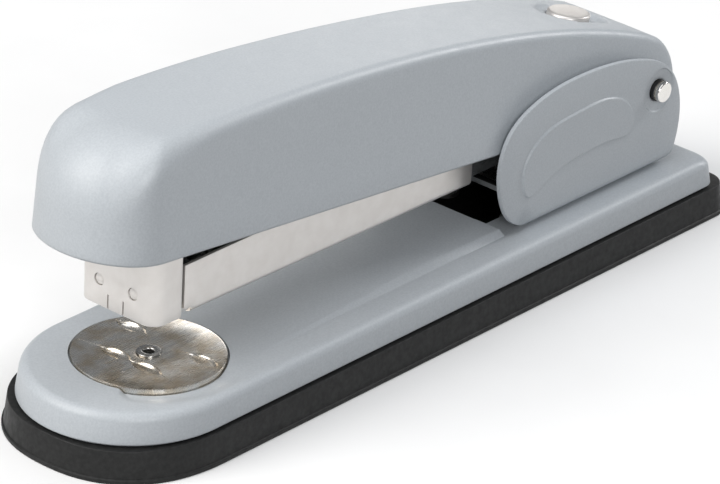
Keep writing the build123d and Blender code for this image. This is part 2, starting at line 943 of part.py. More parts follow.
def tongue_top():
    """Height of the tongue's top with the handle pressed."""
    turn = radians(press_angle)
    reach = blade_front + tongue_thickness - pin_x
    return pin_z + (web_height() - pin_z - reach * sin(turn)) / cos(turn)


def lever_front():
    """Front of the lever's web at rest, level with the front of its tongue."""
    turn = radians(press_angle)
    reach = blade_front + tongue_thickness - pin_x
    return pin_x + reach * cos(turn) - (tongue_top() - pin_z) * sin(turn)


def lever_block():
    """The lever without its hollow: an arm under the cap with a round end at the pin."""
    top = lever_top(lever_drop)
    front = top[0]
    low_front = (front[0], front[1] - lever_half_width)
    low_rear = (pin_x, pin_z - ear_radius)
    low = Polyline(side_points([top[-1], low_rear, low_front, front]))
    arm = across(side_face(Spline(side_points(top)), low), lever_half_width)
    return arm + bar_y(pin_x, pin_z, ear_radius, -lever_half_width, lever_half_width)


def blade_rivet_places():
    height = nose_top + tongue_clear + blade_rivet_rise
    return [(side * blade_rivet_y, height) for side in (1, -1)]


def make_lever():
    top = lever_top(lever_drop + lever_thickness)
    front, rear = top[0], top[-1]
    past_front = (front[0] + tool_reach, front[1])
    past_rear = (rear[0] - 4 * tool_reach, rear[1] + tool_reach)
    low = pin_z - 2 * ear_radius
    corners = [rear, past_rear, (past_rear[0], low), (past_front[0], low), past_front, front]
    hollow = across(side_face(Spline(side_points(top)), Polyline(side_points(corners))), lever_inside)
    body = lever_block() - hollow
    tongue_end = blade_front + tongue_thickness
    tongue = wide(blade_front, tongue_end, blade_half_width, nose_top + tongue_clear, tongue_top())
    for y, z in blade_rivet_places():
        tongue -= bar_x(blade_front, tongue_end, y, z, blade_rivet_radius + seat_gap)
    body += pressed_to_rest(tongue)
    body -= on_seat(button_stem_radius + side_clear, -2 * lever_drop, 0)
    return body - bar_y(pin_x, pin_z, pin_radius + turn_fit, -cap_half_width, cap_half_width)


def make_blade():
    top = tongue_top() - lever_thickness - side_clear
    blade = wide(blade_rear, blade_front, blade_half_width, rail_bottom, top)
    for y, z in blade_rivet_places():
        blade -= bar_x(blade_rear, blade_front, y, z, blade_rivet_radius + seat_gap)
    return pressed_to_rest(blade)


def make_blade_rivets():
    rivets = []
    front = blade_front + tongue_thickness
    rear_head = blade_rear - blade_rivet_head
    for y, z in blade_rivet_places():
        rivet = bar_x(blade_rear, front, y, z, blade_rivet_radius)
        rivet += bar_x(front, front + blade_rivet_head, y, z, blade_rivet_head_radius)
        rivet += bar_x(rear_head, blade_rear, y, z, blade_rivet_head_radius)
        rivets.append(pressed_to_rest(rivet))
    return rivets


def make_cap_studs():
    """Studs that join the lever's web to the inside of the cap."""
    room = cap_block(cap_wall, cap_edge_round - cap_wall) - lever_block()
    studs = []
    for x in (stud_x, -stud_x):
        column = bar_z(x, 0, stud_radius, web_height() - 2 * lever_half_width, 2 * cap_rim_front)
        studs.append((column & room).solids().sort_by(Axis.Z)[-1])
    return studs


def make_button():
    head_under = -button_sunk - button_head
    head = on_seat(button_radius, head_under, -button_sunk)
    rim = head.edges().filter_by(GeomType.CIRCLE).sort_by(Axis.Z)[-1]
    head = fillet(rim, button_head / 3)
    return head + on_seat(button_stem_radius, head_under - button_stem, head_under)


def retainer_top():
    """Depth of the ring that keeps the button's stem under the lever's web."""
    return -lever_drop - lever_thickness - side_clear


def make_button_retainer():
    top = retainer_top()
    ring = on_seat(retainer_radius, top - retainer_thickness, top)
    return ring - on_seat(button_stem_radius, top - retainer_thickness, top)


def make_button_spring():
    low = -lever_drop + face_clear + button_wire / 2
    high = -button_sunk - button_head - face_clear - button_wire / 2
    edges, points, ways = coil_path(button_coil_radius, high - low, button_turns)
    coil = wind(edges, button_wire, button_turns, "button_spring")
    return button_seat() * Pos(0, 0, low) * coil


def make_latch():
    """Lever on the rail: the button lifts its two prongs off the drawer's lips."""
    hub = bar_y(latch_x, latch_z, latch_hub, -latch_half_width, latch_half_width)
    arm_top = latch_z - side_clear
    arm_rear = latch_x - latch_arm
    arm = wide(arm_rear, latch_x, latch_half_width, arm_top - latch_thickness, arm_top)
    hook_rear = tray_floor_rear + lip_thickness + side_clear
    hook_front = hook_rear + latch_prong
    hook_low = tray_floor + lip_height + side_clear
    outline = [
        (latch_x, latch_z + latch_hub),
        (hook_front, hook_low + 2 * latch_thickness),
        (hook_front, hook_low),
        (hook_rear, hook_low),
        (hook_rear, hook_low + latch_thickness),
        (latch_x, latch_z - latch_hub),
    ]
    prongs = across(make_face(Polyline(side_points(outline), close=True)), latch_half_width)
    gap = latch_half_width - latch_prong
    prongs -= wide(latch_x + latch_hub, hook_front, gap, hook_low, latch_z + latch_hub)
    body = hub + arm + prongs
    return body - bar_y(latch_x, latch_z, latch_pin_radius + turn_fit, -rail_half_width, rail_half_width)


def make_latch_pin():
    return bar_y(latch_x, latch_z, latch_pin_radius, -frame_half_width, frame_half_width)


makers = {
    "base_sole": make_sole,
    "base_plate": make_plate,
    "anvil_disc": make_anvil_disc,
    "anvil_rivet": make_anvil_rivet,
    "anvil_washer": make_anvil_washer,
    "hinge_bracket": make_bracket,
    "bracket_rivets": make_bracket_rivets,
    "hinge_pin": make_pin,
    "pin_clips": lambda: both_sides(make_clip),
    "hinge_spacers": lambda: both_sides(make_spacer),
    "lift_spring": make_leaf,
    "lift_spring_rivet": make_leaf_rivet,
    "magazine_frame": make_frame,
    "magazine_cover": make_cover,
    "staple_tray": make_tray,
    "nose_plate": make_nose,
    "nose_rivets": make_nose_rivets,
    "staple_pusher": make_pusher,
    "guide_rod": make_rod,
    "rod_stop": make_rod_stop,
    "rod_anchor": make_anchor,
    "pusher_spring": make_feed_spring,
    "cap_shell": make_cap,
    "handle_frame": make_lever,
    "cap_studs": make_cap_studs,
    "driver_blade": make_blade,
    "blade_rivets": make_blade_rivets,
    "handle_spring": make_torsion_spring,
    "release_button": make_button,
    "button_spring": make_button_spring,
    "button_retainer": make_button_retainer,
    "release_latch": make_latch,
    "latch_pin": make_latch_pin,
}

os.makedirs("parts", exist_ok=True)
for node, make in makers.items():
    shape = make()
    solids = shape if isinstance(shape, list) else [shape]
    export_step(Compound([solid for piece in solids for solid in piece.solids()]), f"parts/{node}.step")
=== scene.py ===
import json
from math import acos, cos, pi, radians, sin, tan

import bmesh
import bpy
import numpy as np
from mathutils import Matrix, Vector
from mathutils.geometry import delaunay_2d_cdt


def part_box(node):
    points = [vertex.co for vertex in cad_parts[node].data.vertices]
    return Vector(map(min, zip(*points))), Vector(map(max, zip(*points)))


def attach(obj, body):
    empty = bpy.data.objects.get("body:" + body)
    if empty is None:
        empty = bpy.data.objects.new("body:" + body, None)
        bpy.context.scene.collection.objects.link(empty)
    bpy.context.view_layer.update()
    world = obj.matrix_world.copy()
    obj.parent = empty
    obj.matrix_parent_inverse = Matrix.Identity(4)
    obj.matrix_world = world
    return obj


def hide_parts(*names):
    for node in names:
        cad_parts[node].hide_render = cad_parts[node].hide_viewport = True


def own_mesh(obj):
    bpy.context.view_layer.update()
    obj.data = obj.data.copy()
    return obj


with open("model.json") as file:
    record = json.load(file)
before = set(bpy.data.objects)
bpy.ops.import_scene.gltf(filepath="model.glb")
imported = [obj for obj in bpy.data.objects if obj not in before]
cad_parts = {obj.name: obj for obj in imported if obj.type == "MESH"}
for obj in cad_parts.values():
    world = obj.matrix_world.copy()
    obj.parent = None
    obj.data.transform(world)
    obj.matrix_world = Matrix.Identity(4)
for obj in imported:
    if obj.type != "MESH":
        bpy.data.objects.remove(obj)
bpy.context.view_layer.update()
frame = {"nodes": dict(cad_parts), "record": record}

# The looks of a desk stapler. Sizes are millimetres in the part's own frame:
# X runs from the hinge to the nose, +Y is the side that the camera sees, Z is up.
# Each piece is drawn in millimetres and made in metres.

MM = 0.001


def cad(node):
    """Lowest and highest corner of a CAD node, in millimetres."""
    low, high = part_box(node)
    return np.array(low) / MM, np.array(high) / MM


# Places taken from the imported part
sole_low, sole_high = cad("base_sole")
plate_low, plate_high = cad("base_plate")
disc_low, disc_high = cad("anvil_disc")
bracket_low, bracket_high = cad("hinge_bracket")
pin_low, pin_high = cad("hinge_pin")
cap_low, cap_high = cad("cap_shell")
cover_low, cover_high = cad("magazine_cover")
nose_low, nose_high = cad("nose_plate")
leaf_low, leaf_high = cad("lift_spring")
feed_low, feed_high = cad("pusher_spring")
coil_low, coil_high = cad("handle_spring")

anvil_x = (disc_low[0] + disc_high[0]) / 2
anvil_radius = (disc_high[0] - disc_low[0]) / 2
anvil_top = disc_high[2]
pin_x = (pin_low[0] + pin_high[0]) / 2
pin_z = (pin_low[2] + pin_high[2]) / 2
pin_radius = (pin_high[2] - pin_low[2]) / 2

# Base plate
plate_seat = plate_low[2]
plate_top = bracket_low[2]
plate_half = plate_high[1]
plate_reach = 19.5
plate_corner = 2.8
plate_wall = 1.2
plate_round = 1.6
plate_lean = 0.2
plate_end_lean = 0.9
plate_lip = plate_seat - 0.05
seam_depth = 0.9
window_rear = -36.0
window_half = 7.6
well_gap = 0.3
well_depth = 1.0
well_wall = 1.0
well_hole = 2.05

# Hump: its edge band as places along X and widths, its end as the drop's start and stop
hump_half = 12.9
hump_band = [(-20.0, 0.95), (0.0, 1.9), (40.0, 0.4)]
hump_step = 0.37
hump_crown = 0.5
hump_rise = plate_high[2] - plate_top
hump_rear = -18.8
hump_front = 43.0
hump_end = (0.1, 0.7)
hump_bow = 2.85

# Finger hollow round the well: turns in degrees from the front, widths out from the well
notch_start = 23.0
notch_steep = 2.5
notch_spread = 4.5
notch_end = 126.0
notch_fade = 26.0
notch_shelf = 1.2
notch_width = 4.6
notch_depth = 0.75

# Sole
sole_half = sole_high[1]
sole_reach = 22.5
sole_corner = 5.0
sole_full = 0.86
sole_top = plate_seat - 0.45
sole_wall = 4.4
sole_floor = 2.0
tub_least_corner = 0.8

# Anvil
eyelet_radius = 2.15
pocket_row = 4.3
pocket_depth = 0.95
slit_depth = 0.4
slit_run_out = 0.8

# Bracket: a grey-painted skin, and a dark inner sheet over the floor and far cheek that is painted shade in
# the bracket's hollow
bracket_wall = 1.0
bracket_skin = 0.75
bracket_edge = 0.5
shade_sheet_edge = 0.05
painted_cut = 14.0
shade_sheet_cut = 6.5
cut_ease = 2.4
bend = 1.8
bend_run = bend * pi / 2
bracket_seat = plate_top + 0.6
panel_relief = 0.4
panel_rise = 0.36
boss_radius = 4.15
boss_sunk = 0.3
cheek_half = bracket_high[1] - panel_relief
floor_half = cheek_half - bend
pin_gap = 0.12
pin_short = 0.5

# How a pressed edge rises: distances inside its line and shares of its height
pressed_edge = [(-0.12, 0.0), (0.0, 0.0), (0.07, 0.15), (0.21, 0.85), (0.3, 1.0), (0.42, 1.0)]

# Cheek and its panel, as shares of the cheek's length and height
cheek_rear = pin_x - 6.8
cheek_length = 51.1
cheek_height = pin_z + 9.7 - plate_top
cheek_shape = [
    (0.8, 0.0), (0.926, 0.17), (0.966, 0.34), (0.98, 0.52),
    (0.938, 0.784), (0.806, 0.945), (0.555, 1.006), (0.216, 0.903),
    (0.068, 0.737), (0.0, 0.42), (0.019, 0.11), (0.04, 0.0),
]
panel_shape = [
    (0.832, 0.263), (0.863, 0.4), (0.845, 0.56), (0.77, 0.69),
    (0.6, 0.75), (0.4, 0.74), (0.315, 0.656), (0.27, 0.49),
    (0.282, 0.4), (0.36, 0.39), (0.55, 0.395), (0.72, 0.325),
]

# Cap: side leans and edge radii are given with their places along X
cap_half = cap_high[1]
cap_front = cap_high[0]
cap_rear = cap_low[0]
cap_reach = 10.93
cap_rim_front = 37.4
cap_slope = tan(radians(5.89))
cap_nose_lean = tan(radians(6.3))
cap_side_lean = [(-69.0, 0.2), (-39.0, 0.175), (-6.0, 0.147), (21.0, 0.108), (40.0, 0.08), (64.0, 0.05)]
cap_edge = [(-40.0, 1.7), (30.0, 2.2), (52.0, 2.6), (57.0, 3.4), (60.5, 4.3)]
cap_rear_round = 1.7
cap_least_round = 0.9
cap_front_round = 12.5
cap_soft_start = 0.27
cap_soft_run = 0.5
cap_wall = 1.0
cap_crown = 0.1
cap_crown_half = 10.5
cap_crown_foot = 8.0
cap_crown_ease = 6.0
cap_roll = 0.4
cap_roll_height = 0.55
cap_bow = 7.5

# Places along X where the cap's rear bow, its sides and its nose meet
cap_bow_aim = -50.0
cap_foot_rear = -60.5
cap_foot_front = -53.0
cap_side_end = 52.0
cap_nose_top = 55.0

# Points of the ridge, which a smooth curve is fitted to
cap_top_shape = [
    (68.0, 56.2), (58.2, 56.3), (31.5, 55.05), (6.5, 52.4),
    (-19.5, 47.9), (-47.0, 41.5), (-61.5, 36.25),
]
cap_top_curve = np.polyfit(*np.array(cap_top_shape).T, 4)

# Rail cover
cover_cut = 1.6
cover_sag = 0.9
cover_rise = 0.7

# Release button and the dish round it
button_x = -52.0
button_radius = 3.85
button_proud = 0.6
button_gap = 0.35
button_tilt = tan(radians(9.5))
dish_half_length = 7.75
dish_half_width = 5.4
dish_back = 0.9
dish_depth = 1.0
dish_floor = 0.72
dish_power = 2.4
dish_span = (-61.5, -42.0)
dish_strips = 6

# Studio: each lamp's name, place and size in metres, power and colour
lamps = [
    ("key", (0.8, -0.35, 0.7), 0.8, 9.8, (1.0, 0.98, 0.95)),
    ("top", (0.2, 0.0, 1.1), 0.9, 4.4, (0.97, 0.98, 1.0)),
    ("rim", (-0.85, 0.2, 0.45), 0.25, 2.8, (1.0, 1.0, 1.0)),
    ("fill", (0.6, 0.85, 0.55), 0.4, 4.1, (1.0, 1.0, 1.0)),
    ("back", (-0.85, -0.62, 0.22), 0.25, 0.46, (1.0, 0.98, 0.95)),
]
floor_size = 3.0

# Camera, fitted to the photograph
camera_azimuth = 130.254
camera_elevation = 26.809
camera_roll = 2.848
camera_distance = 900.0
camera_lens = 255.04
camera_aim = (-19.082, -17.378, 0.0)


def smooth(value):
    """Ease from 0 to 1."""
    t = np.clip(value, 0.0, 1.0)
    return t * t * (3 - 2 * t)


def rounded(a, b, c, radius, steps=6):
    """Points of the arc that rounds the corner b between a and c."""
    a, b, c = (np.array(p, float) for p in (a, b, c))
    to_a = (a - b) / np.linalg.norm(a - b)
    to_c = (c - b) / np.linalg.norm(c - b)
    half = acos(np.clip(to_a @ to_c, -1, 1)) / 2
    along = to_a + to_c
    centre = b + along / np.linalg.norm(along) * radius / sin(half)
    first = b + to_a * radius / tan(half) - centre
    last = b + to_c * radius / tan(half) - centre
    turn = pi - 2 * half
    points = []
    for step in range(steps + 1):
        t = step / steps
        points.append(centre + (sin((1 - t) * turn) * first + sin(t * turn) * last) / sin(turn))
    return points


def spline(points, steps, closed=False):
    """Points along a smooth curve through the given points."""
    p = np.array(points, float)
    if closed:
        p = np.vstack([p, p[:1]])
    count = len(p)
    gap = np.linalg.norm(np.diff(p, axis=0), axis=1)
    slope = np.diff(p, axis=0) / gap[:, None]
    left = np.zeros((count, count))
    right = np.zeros_like(p)
    for i in range(1, count - 1):
        left[i, i - 1 : i + 2] = gap[i - 1], 2 * (gap[i - 1] + gap[i]), gap[i]
        right[i] = 6 * (slope[i] - slope[i - 1])
    if closed:
        left[0, 0], left[0, 1], left[0, -2] = 2 * (gap[-1] + gap[0]), gap[0], gap[-1]
        right[0] = 6 * (slope[0] - slope[-1])
        left[-1, 0], left[-1, -1] = 1, -1
    else:
        left[0, 0] = left[-1, -1] = 1
    curve = np.linalg.solve(left, right)
    found = []
    for i in range(count - 1):
        for t in np.arange(steps) / steps:
            s = 1 - t
            pull = (s**3 - s) * curve[i] + (t**3 - t) * curve[i + 1]
            found.append(s * p[i] + t * p[i + 1] + pull * gap[i] ** 2 / 6)
    if not closed:
        found.append(p[-1])
    return np.array(found)


def circle(x, y, radius, count):
    """Points round a circle."""
    turns = np.arange(count) * 2 * pi / count
    return np.stack([x + radius * np.cos(turns), y + radius * np.sin(turns)], axis=1)


def moved_in(loop, depth):
    """A closed loop drawn in by a depth; a negative depth moves it out."""
    loop = np.array(loop, float)
    before, after = np.roll(loop, 1, axis=0), np.roll(loop, -1, axis=0)
    area = np.sum(loop[:, 0] * after[:, 1] - after[:, 0] * loop[:, 1])
    way = after - before
    normal = np.stack([-way[:, 1], way[:, 0]], axis=1) * np.sign(area)
    return loop + depth * normal / np.linalg.norm(normal, axis=1)[:, None]


def inside(points, loops):
    """Which points lie inside an odd number of loops."""
    x, y = np.array(points, float).T
    odd = np.zeros(len(x), bool)
    for loop in loops:
        a = np.array(loop, float)
        b = np.roll(a, -1, axis=0)
        for (ax, ay), (bx, by) in zip(a, b):
            if ay != by:
                odd ^= ((ay > y) != (by > y)) & (x < (bx - ax) * (y - ay) / (by - ay) + ax)
    return odd


def spot_key(x, y):
    """Rounded place, by which a point is looked up."""
    return round(x, 2), round(y, 2)


def read_off(table, x):
    """Value at x on the straight stretches between a table's points."""
    return float(np.interp(x, *np.array(table).T))


def directions(line):
    """Unit steps along a line of points."""
    ways = np.gradient(line, axis=0)
    return ways / np.linalg.norm(ways, axis=1)[:, None]


def folded(s, flat, fold, depth):
    """Place across and height of a run s along a sheet that folds up on both sides of a flat."""
    run, turn, arm = abs(s) - flat, fold * pi / 2, fold - depth
    if run <= 0:
        return s, depth
    if run < turn:
        return np.sign(s) * (flat + arm * sin(run / fold)), fold - arm * cos(run / fold)
    return np.sign(s) * (flat + arm), fold + run - turn


def add_object(name, data):
    """New object in the scene."""
    obj = bpy.data.objects.new(name, data)
    bpy.context.scene.collection.objects.link(obj)
    return obj


class Form:
    """Points and faces of one piece, in millimetres, joined up as they are added."""

    def __init__(self):
        self.points = []
        self.faces = []

    def row(self, points):
        """Add a row of points and return their numbers."""
        first = len(self.points)
        self.points.extend(tuple(float(c) for c in p) for p in points)
        return list(range(first, len(self.points)))

    def bridge(self, lower, upper, closed=True):
        """Join two rows of equal length."""
        count = len(lower)
        for i in range(count if closed else count - 1):
            k = (i + 1) % count
            self.faces.append((lower[i], lower[k], upper[k], upper[i]))

    def skin(self, rows, closed=True, ring=False, ends=False):
        """Join rows one after another, the last to the first in a ring, and close the ends."""
        numbers = [self.row(points) for points in rows]
        following = numbers[1:] + (numbers[:1] if ring else [])
        for lower, upper in zip(numbers, following):
            self.bridge(lower, upper, closed)
        if ends:
            self.faces += [tuple(numbers[0]), tuple(numbers[-1])]

    def fill(self, loops, place, spots=(), creases=()):
        """Triangles over the flat region between loops, each point placed by a function."""
        flat = []
        edges = []
        for loop in list(loops) + list(creases):
            first = len(flat)
            flat.extend(Vector(p) for p in loop)
            count = len(flat) - first
            edges += [(first + i, first + (i + 1) % count) for i in range(count)]
        flat.extend(Vector(p) for p in spots)
        found, _, triangles, *_ = delaunay_2d_cdt(flat, edges, [], 0, 1e-5)
        middles = [sum((found[i] for i in t), Vector((0, 0))) / 3 for t in triangles]
        numbers = self.row([place(p.x, p.y) for p in found])
        for triangle, keep in zip(triangles, inside(middles, loops)):
            if keep:
                self.faces.append(tuple(numbers[i] for i in triangle))

    def sheet(self, loops, place, thick, edge, spots=(), creases=()):
        """A sheet with rounded outer edges; place takes u, v and the depth below the face."""
        drawn = [moved_in(loop, edge if k == 0 else -edge) for k, loop in enumerate(loops)]
        eased = [moved_in(loop, edge / 4 if k == 0 else -edge / 4) for k, loop in enumerate(loops)]
        self.fill(drawn, lambda u, v: place(u, v, 0.0), spots, creases)
        self.fill(loops, lambda u, v: place(u, v, thick), spots, creases)
        for full, middle, small in zip(loops, eased, drawn):
            levels = [(small, 0.0), (middle, edge / 4), (full, edge), (full, thick)]
            self.skin([[place(u, v, depth) for u, v in loop] for loop, depth in levels])

    def piece(self, name, body, slot, nodes=(), look=None, sharp=35.0):
        """Weld the points, make the object, set its body and finish, and hide the CAD nodes it stands for.
        """
        mesh = bpy.data.meshes.new(name)
        mesh.from_pydata([Vector(p) * MM for p in self.points], [], self.faces)
        work = bmesh.new()
        work.from_mesh(mesh)
        bmesh.ops.remove_doubles(work, verts=work.verts, dist=0.002 * MM)
        bmesh.ops.dissolve_degenerate(work, edges=work.edges, dist=0.0005 * MM)
        loose = [v for v in work.verts if not v.link_faces]
        bmesh.ops.delete(work, geom=loose, context="VERTS")
        bmesh.ops.recalc_face_normals(work, faces=work.faces)
        work.to_mesh(mesh)
        work.free()
        mesh.polygons.foreach_set("use_smooth", [True] * len(mesh.polygons))
        mesh.set_sharp_from_angle(angle=radians(sharp))
        mesh.materials.append(finishes[look or slot])
        obj = add_object(name, mesh)
        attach(obj, body)
        if nodes:
            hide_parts(*nodes)
        return obj


# Finishes


class Finish:
    """A material whose colour, roughness and relief come from procedural textures."""

    def __init__(self, name, metallic=0.0):
        self.material = bpy.data.materials.new(name)
        self.material.use_nodes = True
        self.tree = self.material.node_tree
        self.shader = self.tree.nodes["Principled BSDF"]
        self.shader.inputs["Metallic"].default_value = metallic
        self.place = self.tree.nodes.new("ShaderNodeTexCoord").outputs["Object"]

    def link(self, source, target):
        """Join an output to an input."""
        self.tree.links.new(source, target)

    def noise(self, grain, detail=3.0, stretch=(1, 1, 1)):
        """Noise with grains of about the given size in millimetres, stretched along the axes."""
        mapping = self.tree.nodes.new("ShaderNodeMapping")
        mapping.inputs["Scale"].default_value = [1 / (grain * MM * s) for s in stretch]
        self.link(self.place, mapping.inputs["Vector"])
        noise = self.tree.nodes.new("ShaderNodeTexNoise")
        noise.inputs["Scale"].default_value = 1.0
        noise.inputs["Detail"].default_value = detail
        self.link(mapping.outputs["Vector"], noise.inputs["Vector"])
        return noise.outputs["Fac"]

    def ramp(self, source, stops):
        """Colours along a noise's value."""
        node = self.tree.nodes.new("ShaderNodeValToRGB")
        elements = node.color_ramp.elements
        while len(elements) < len(stops):
            elements.new(0.5)
        for element, (place, colour) in zip(elements, stops):
            element.position = place
            element.color = (*colour, 1.0)
        self.link(source, node.inputs["Fac"])
        return node.outputs["Color"]

    def colour(self, source, low, high):
        """Let the base colour vary between two colours."""
        stops = [(0.35, low), (0.65, high)]
        self.link(self.ramp(source, stops), self.shader.inputs["Base Color"])

    def roughness(self, source, low, high):
        """Let the roughness vary between two values."""
        node = self.tree.nodes.new("ShaderNodeMapRange")
        node.inputs["From Min"].default_value = 0.3
        node.inputs["From Max"].default_value = 0.7
        node.inputs["To Min"].default_value = low
        node.inputs["To Max"].default_value = high
        self.link(source, node.inputs["Value"])
        self.link(node.outputs["Result"], self.shader.inputs["Roughness"])

    def relief(self, source, height, strength=1.0, below=None):
        """A bump of the given height in millimetres, on top of another one."""
        node = self.tree.nodes.new("ShaderNodeBump")
        node.inputs["Distance"].default_value = height * MM
        node.inputs["Strength"].default_value = strength
        self.link(source, node.inputs["Height"])
        if below is not None:
            self.link(below, node.inputs["Normal"])
        self.link(node.outputs["Normal"], self.shader.inputs["Normal"])
        return node.outputs["Normal"]


def paint_finish():
    """Satin grey-blue paint with a fine grain and faint speckles."""
    finish = Finish("paint")
    finish.colour(finish.noise(0.35, 4.0), (0.455, 0.487, 0.517), (0.505, 0.537, 0.567))
    finish.roughness(finish.noise(2.4), 0.36, 0.46)
    coarse = finish.relief(finish.noise(0.9, 2.0), 0.012, 0.35)
    finish.relief(finish.noise(0.22, 2.0), 0.006, 0.45, coarse)
    return finish.material


def sole_finish():
    """Charcoal moulded sole, matt, with a fine grain."""
    finish = Finish("sole")
    finish.colour(finish.noise(0.8, 5.0), (0.011, 0.0112, 0.0112), (0.019, 0.0193, 0.0193))
    finish.shader.inputs["Specular IOR Level"].default_value = 0.3
    finish.roughness(finish.noise(1.5), 0.42, 0.6)
    finish.relief(finish.noise(0.3, 3.0), 0.02, 0.5)
    return finish.material


def metal_finish(name, low, high, rough, grain=(1, 1, 1), height=0.004, metallic=1.0):
    """Plated or bare metal with fine scratches along one direction."""
    finish = Finish(name, metallic)
    finish.colour(finish.noise(3.0, 4.0), low, high)
    scratch = finish.noise(0.12, 2.0, grain)
    finish.roughness(scratch, *rough)
    finish.relief(scratch, height, 0.4)
    return finish.material


def moulded_finish():
    """Black moulded plastic."""
    finish = Finish("moulded")
    finish.colour(finish.noise(0.6, 3.0), (0.018, 0.018, 0.019), (0.032, 0.032, 0.034))
    finish.roughness(finish.noise(1.0), 0.35, 0.5)
    finish.relief(finish.noise(0.25, 2.0), 0.01, 0.4)
    return finish.material


along_x = (40, 1, 1)
finishes = {
    "paint": paint_finish(),
    "sole": sole_finish(),
    "nickel": metal_finish(
        "nickel", (0.70, 0.672, 0.645), (0.74, 0.715, 0.69), (0.36, 0.46), (14, 1, 1), 0.0015, metallic=0.75
    ),
    # Disc colour: a nickel tone that varies at random, pulled towards brown as painted reflection of warm
    # surroundings.
    "disc": metal_finish("disc", (0.70, 0.61, 0.49), (0.86, 0.84, 0.80), (0.18, 0.32), (60, 1, 1), 0.006),
    "bright": metal_finish("bright", (0.80, 0.78, 0.74), (0.86, 0.84, 0.81), (0.16, 0.24), (1, 1, 1), 0.002),
    "steel": metal_finish("steel", (0.36, 0.36, 0.355), (0.46, 0.46, 0.455), (0.26, 0.42), along_x),
    "spring": metal_finish("spring", (0.44, 0.43, 0.42), (0.56, 0.55, 0.53), (0.2, 0.32)),
    # Near-black metal that paints shade: used for the dark sheet in the bracket's hollow and the dark rings
    # round the pin.
    "painted_shade": metal_finish("painted_shade", (0.045, 0.045, 0.046), (0.075, 0.075, 0.076), (0.45, 0.6)),
    "moulded": moulded_finish(),
}


# Base


def tub(half, front, reach, rear, corner, z, inset, full=1.0):
    """Closed outline with a rounded front and rear corners; full is below 1 for a squarer front."""
    half, front, reach, rear = half - inset, front - inset, reach - inset, rear + inset
    corner = max(corner - inset, tub_least_corner)
    nose, tail, side = front - reach, rear + corner, half - corner
    turns = np.linspace(-pi / 2, pi / 2, 73)
    points = [(nose + reach * abs(cos(a)) ** full, half * np.sign(a) * abs(sin(a)) ** full) for a in turns]
    points += [(x, half) for x in np.linspace(nose, tail, 41)[1:-1]]
    points += [(tail + corner * cos(a), side + corner * sin(a)) for a in np.linspace(pi / 2, pi, 13)]
    points += [(rear, y) for y in np.linspace(side, -side, 15)[1:-1]]
    points += [(tail + corner * cos(a), corner * sin(a) - side) for a in np.linspace(pi, 1.5 * pi, 13)]
    points += [(x, -half) for x in np.linspace(tail, nose, 41)[1:-1]]
    return [(x, y, z) for x, y in points]


def sole_loop(inset, z):
    """Outline of the sole at a height."""
    return tub(sole_half, sole_high[0], sole_reach, sole_low[0], sole_corner, z, inset, sole_full)


def make_sole():
    """Tray with a rounded foot rim, a leaning wall and a thin lip at its top."""
    middle, heel = (sole_wall, 0.0), (0.0, 0.0)
    rim, waist = (0.0, 0.75), (0.3, 0.9)
    lip, mouth = (0.85, sole_top), (sole_wall, sole_top)
    floor = (sole_wall, sole_floor)
    heel_round, rim_round, lip_round, mouth_round = 0.25, 0.15, 0.18, 0.4
    profile = rounded(middle, heel, rim, heel_round, 3)
    profile += rounded(heel, rim, waist, rim_round, 3) + [waist]
    profile += rounded(waist, lip, mouth, lip_round, 4)
    profile += rounded(lip, mouth, floor, mouth_round, 3) + [floor]
    form = Form()
    form.skin([sole_loop(inset, z) for inset, z in profile], ends=True)
    form.piece("sole", "base", "sole", ["base_sole"])


def plate_loop(inset, z):
    """Outline of the plate, whose rear corners grow softer towards the top."""
    lean = plate_end_lean * (z - plate_lip) / (plate_top - plate_lip)
    front, rear = plate_high[0] - lean, plate_low[0] + lean
    return tub(plate_half, front, plate_reach, rear, plate_corner + 2 * inset, z, inset)


def hump_edge(y):
    """Where the hump's rear end lies, bowed towards the front at the middle."""
    return hump_rear - hump_bow * (y / hump_half) ** 2


def hump_shoulder(x):
    """Distance of the hump's shoulder line from the middle."""
    return hump_half - read_off(hump_band, x)


def hump(x, y):
    """Height of the long hump over the plate: an arch that fades towards the anvil."""
    share = np.clip((hump_front - x) / (hump_front - hump_rear), 0.0, 1.0)
    aside = min(abs(y), hump_half)
    shoulder = hump_shoulder(x)
    if aside < shoulder:
        arch = hump_step + hump_crown * (1 - (aside / shoulder) ** 2)
    else:
        arch = hump_step * (hump_half - aside) / (hump_half - shoulder)
    top, foot = hump_end
    end = smooth((x - hump_edge(y) + foot) / (foot - top))
    return hump_rise * share * arch * end


def notch(x, y):
    """Depth of the finger hollow beside the anvil, with a steep end towards the front."""
    out = np.hypot(x - anvil_x, y) - anvil_radius - well_gap
    turn = np.degrees(np.arctan2(y, x - anvil_x))
    front = smooth((turn - notch_start) / (notch_steep + notch_spread * max(out, 0.0)))
    rear = 1 - smooth((turn - notch_end + notch_fade) / notch_fade)
    fade = 1 - smooth((out - notch_shelf) / (notch_width - notch_shelf))
    return notch_depth * front * rear * fade


def plate_surface(x, y):
    """Height of the plate's upper face."""
    return plate_top + hump(x, y) - notch(x, y)


def window_loop():
    """Outline of the opening behind the hump, along the hump's bowed end."""
    ys = np.linspace(-window_half, window_half, 33)
    top, foot = (hump_edge(window_half) - back for back in hump_end)
    xs = [top, foot] + list(np.linspace(foot, window_rear, 8)[1:])
    loop = [(hump_edge(y), y) for y in ys]
    loop += [(x, window_half) for x in xs]
    loop += [(window_rear, y) for y in ys[::-1][1:]]
    return loop + [(x, -window_half) for x in xs[::-1][1:]]


def hump_drops():
    """Strips on both sides of the opening, where the hump's end drops to the plate."""
    clear = 0.06
    top, foot = hump_end
    ys = np.linspace(window_half + clear, hump_half, 12)
    strips = []
    for side in (1, -1):
        strip = [(hump_edge(y) - top, side * y) for y in ys]
        strips.append(strip + [(hump_edge(y) - foot, side * y) for y in ys[::-1]])
    return strips


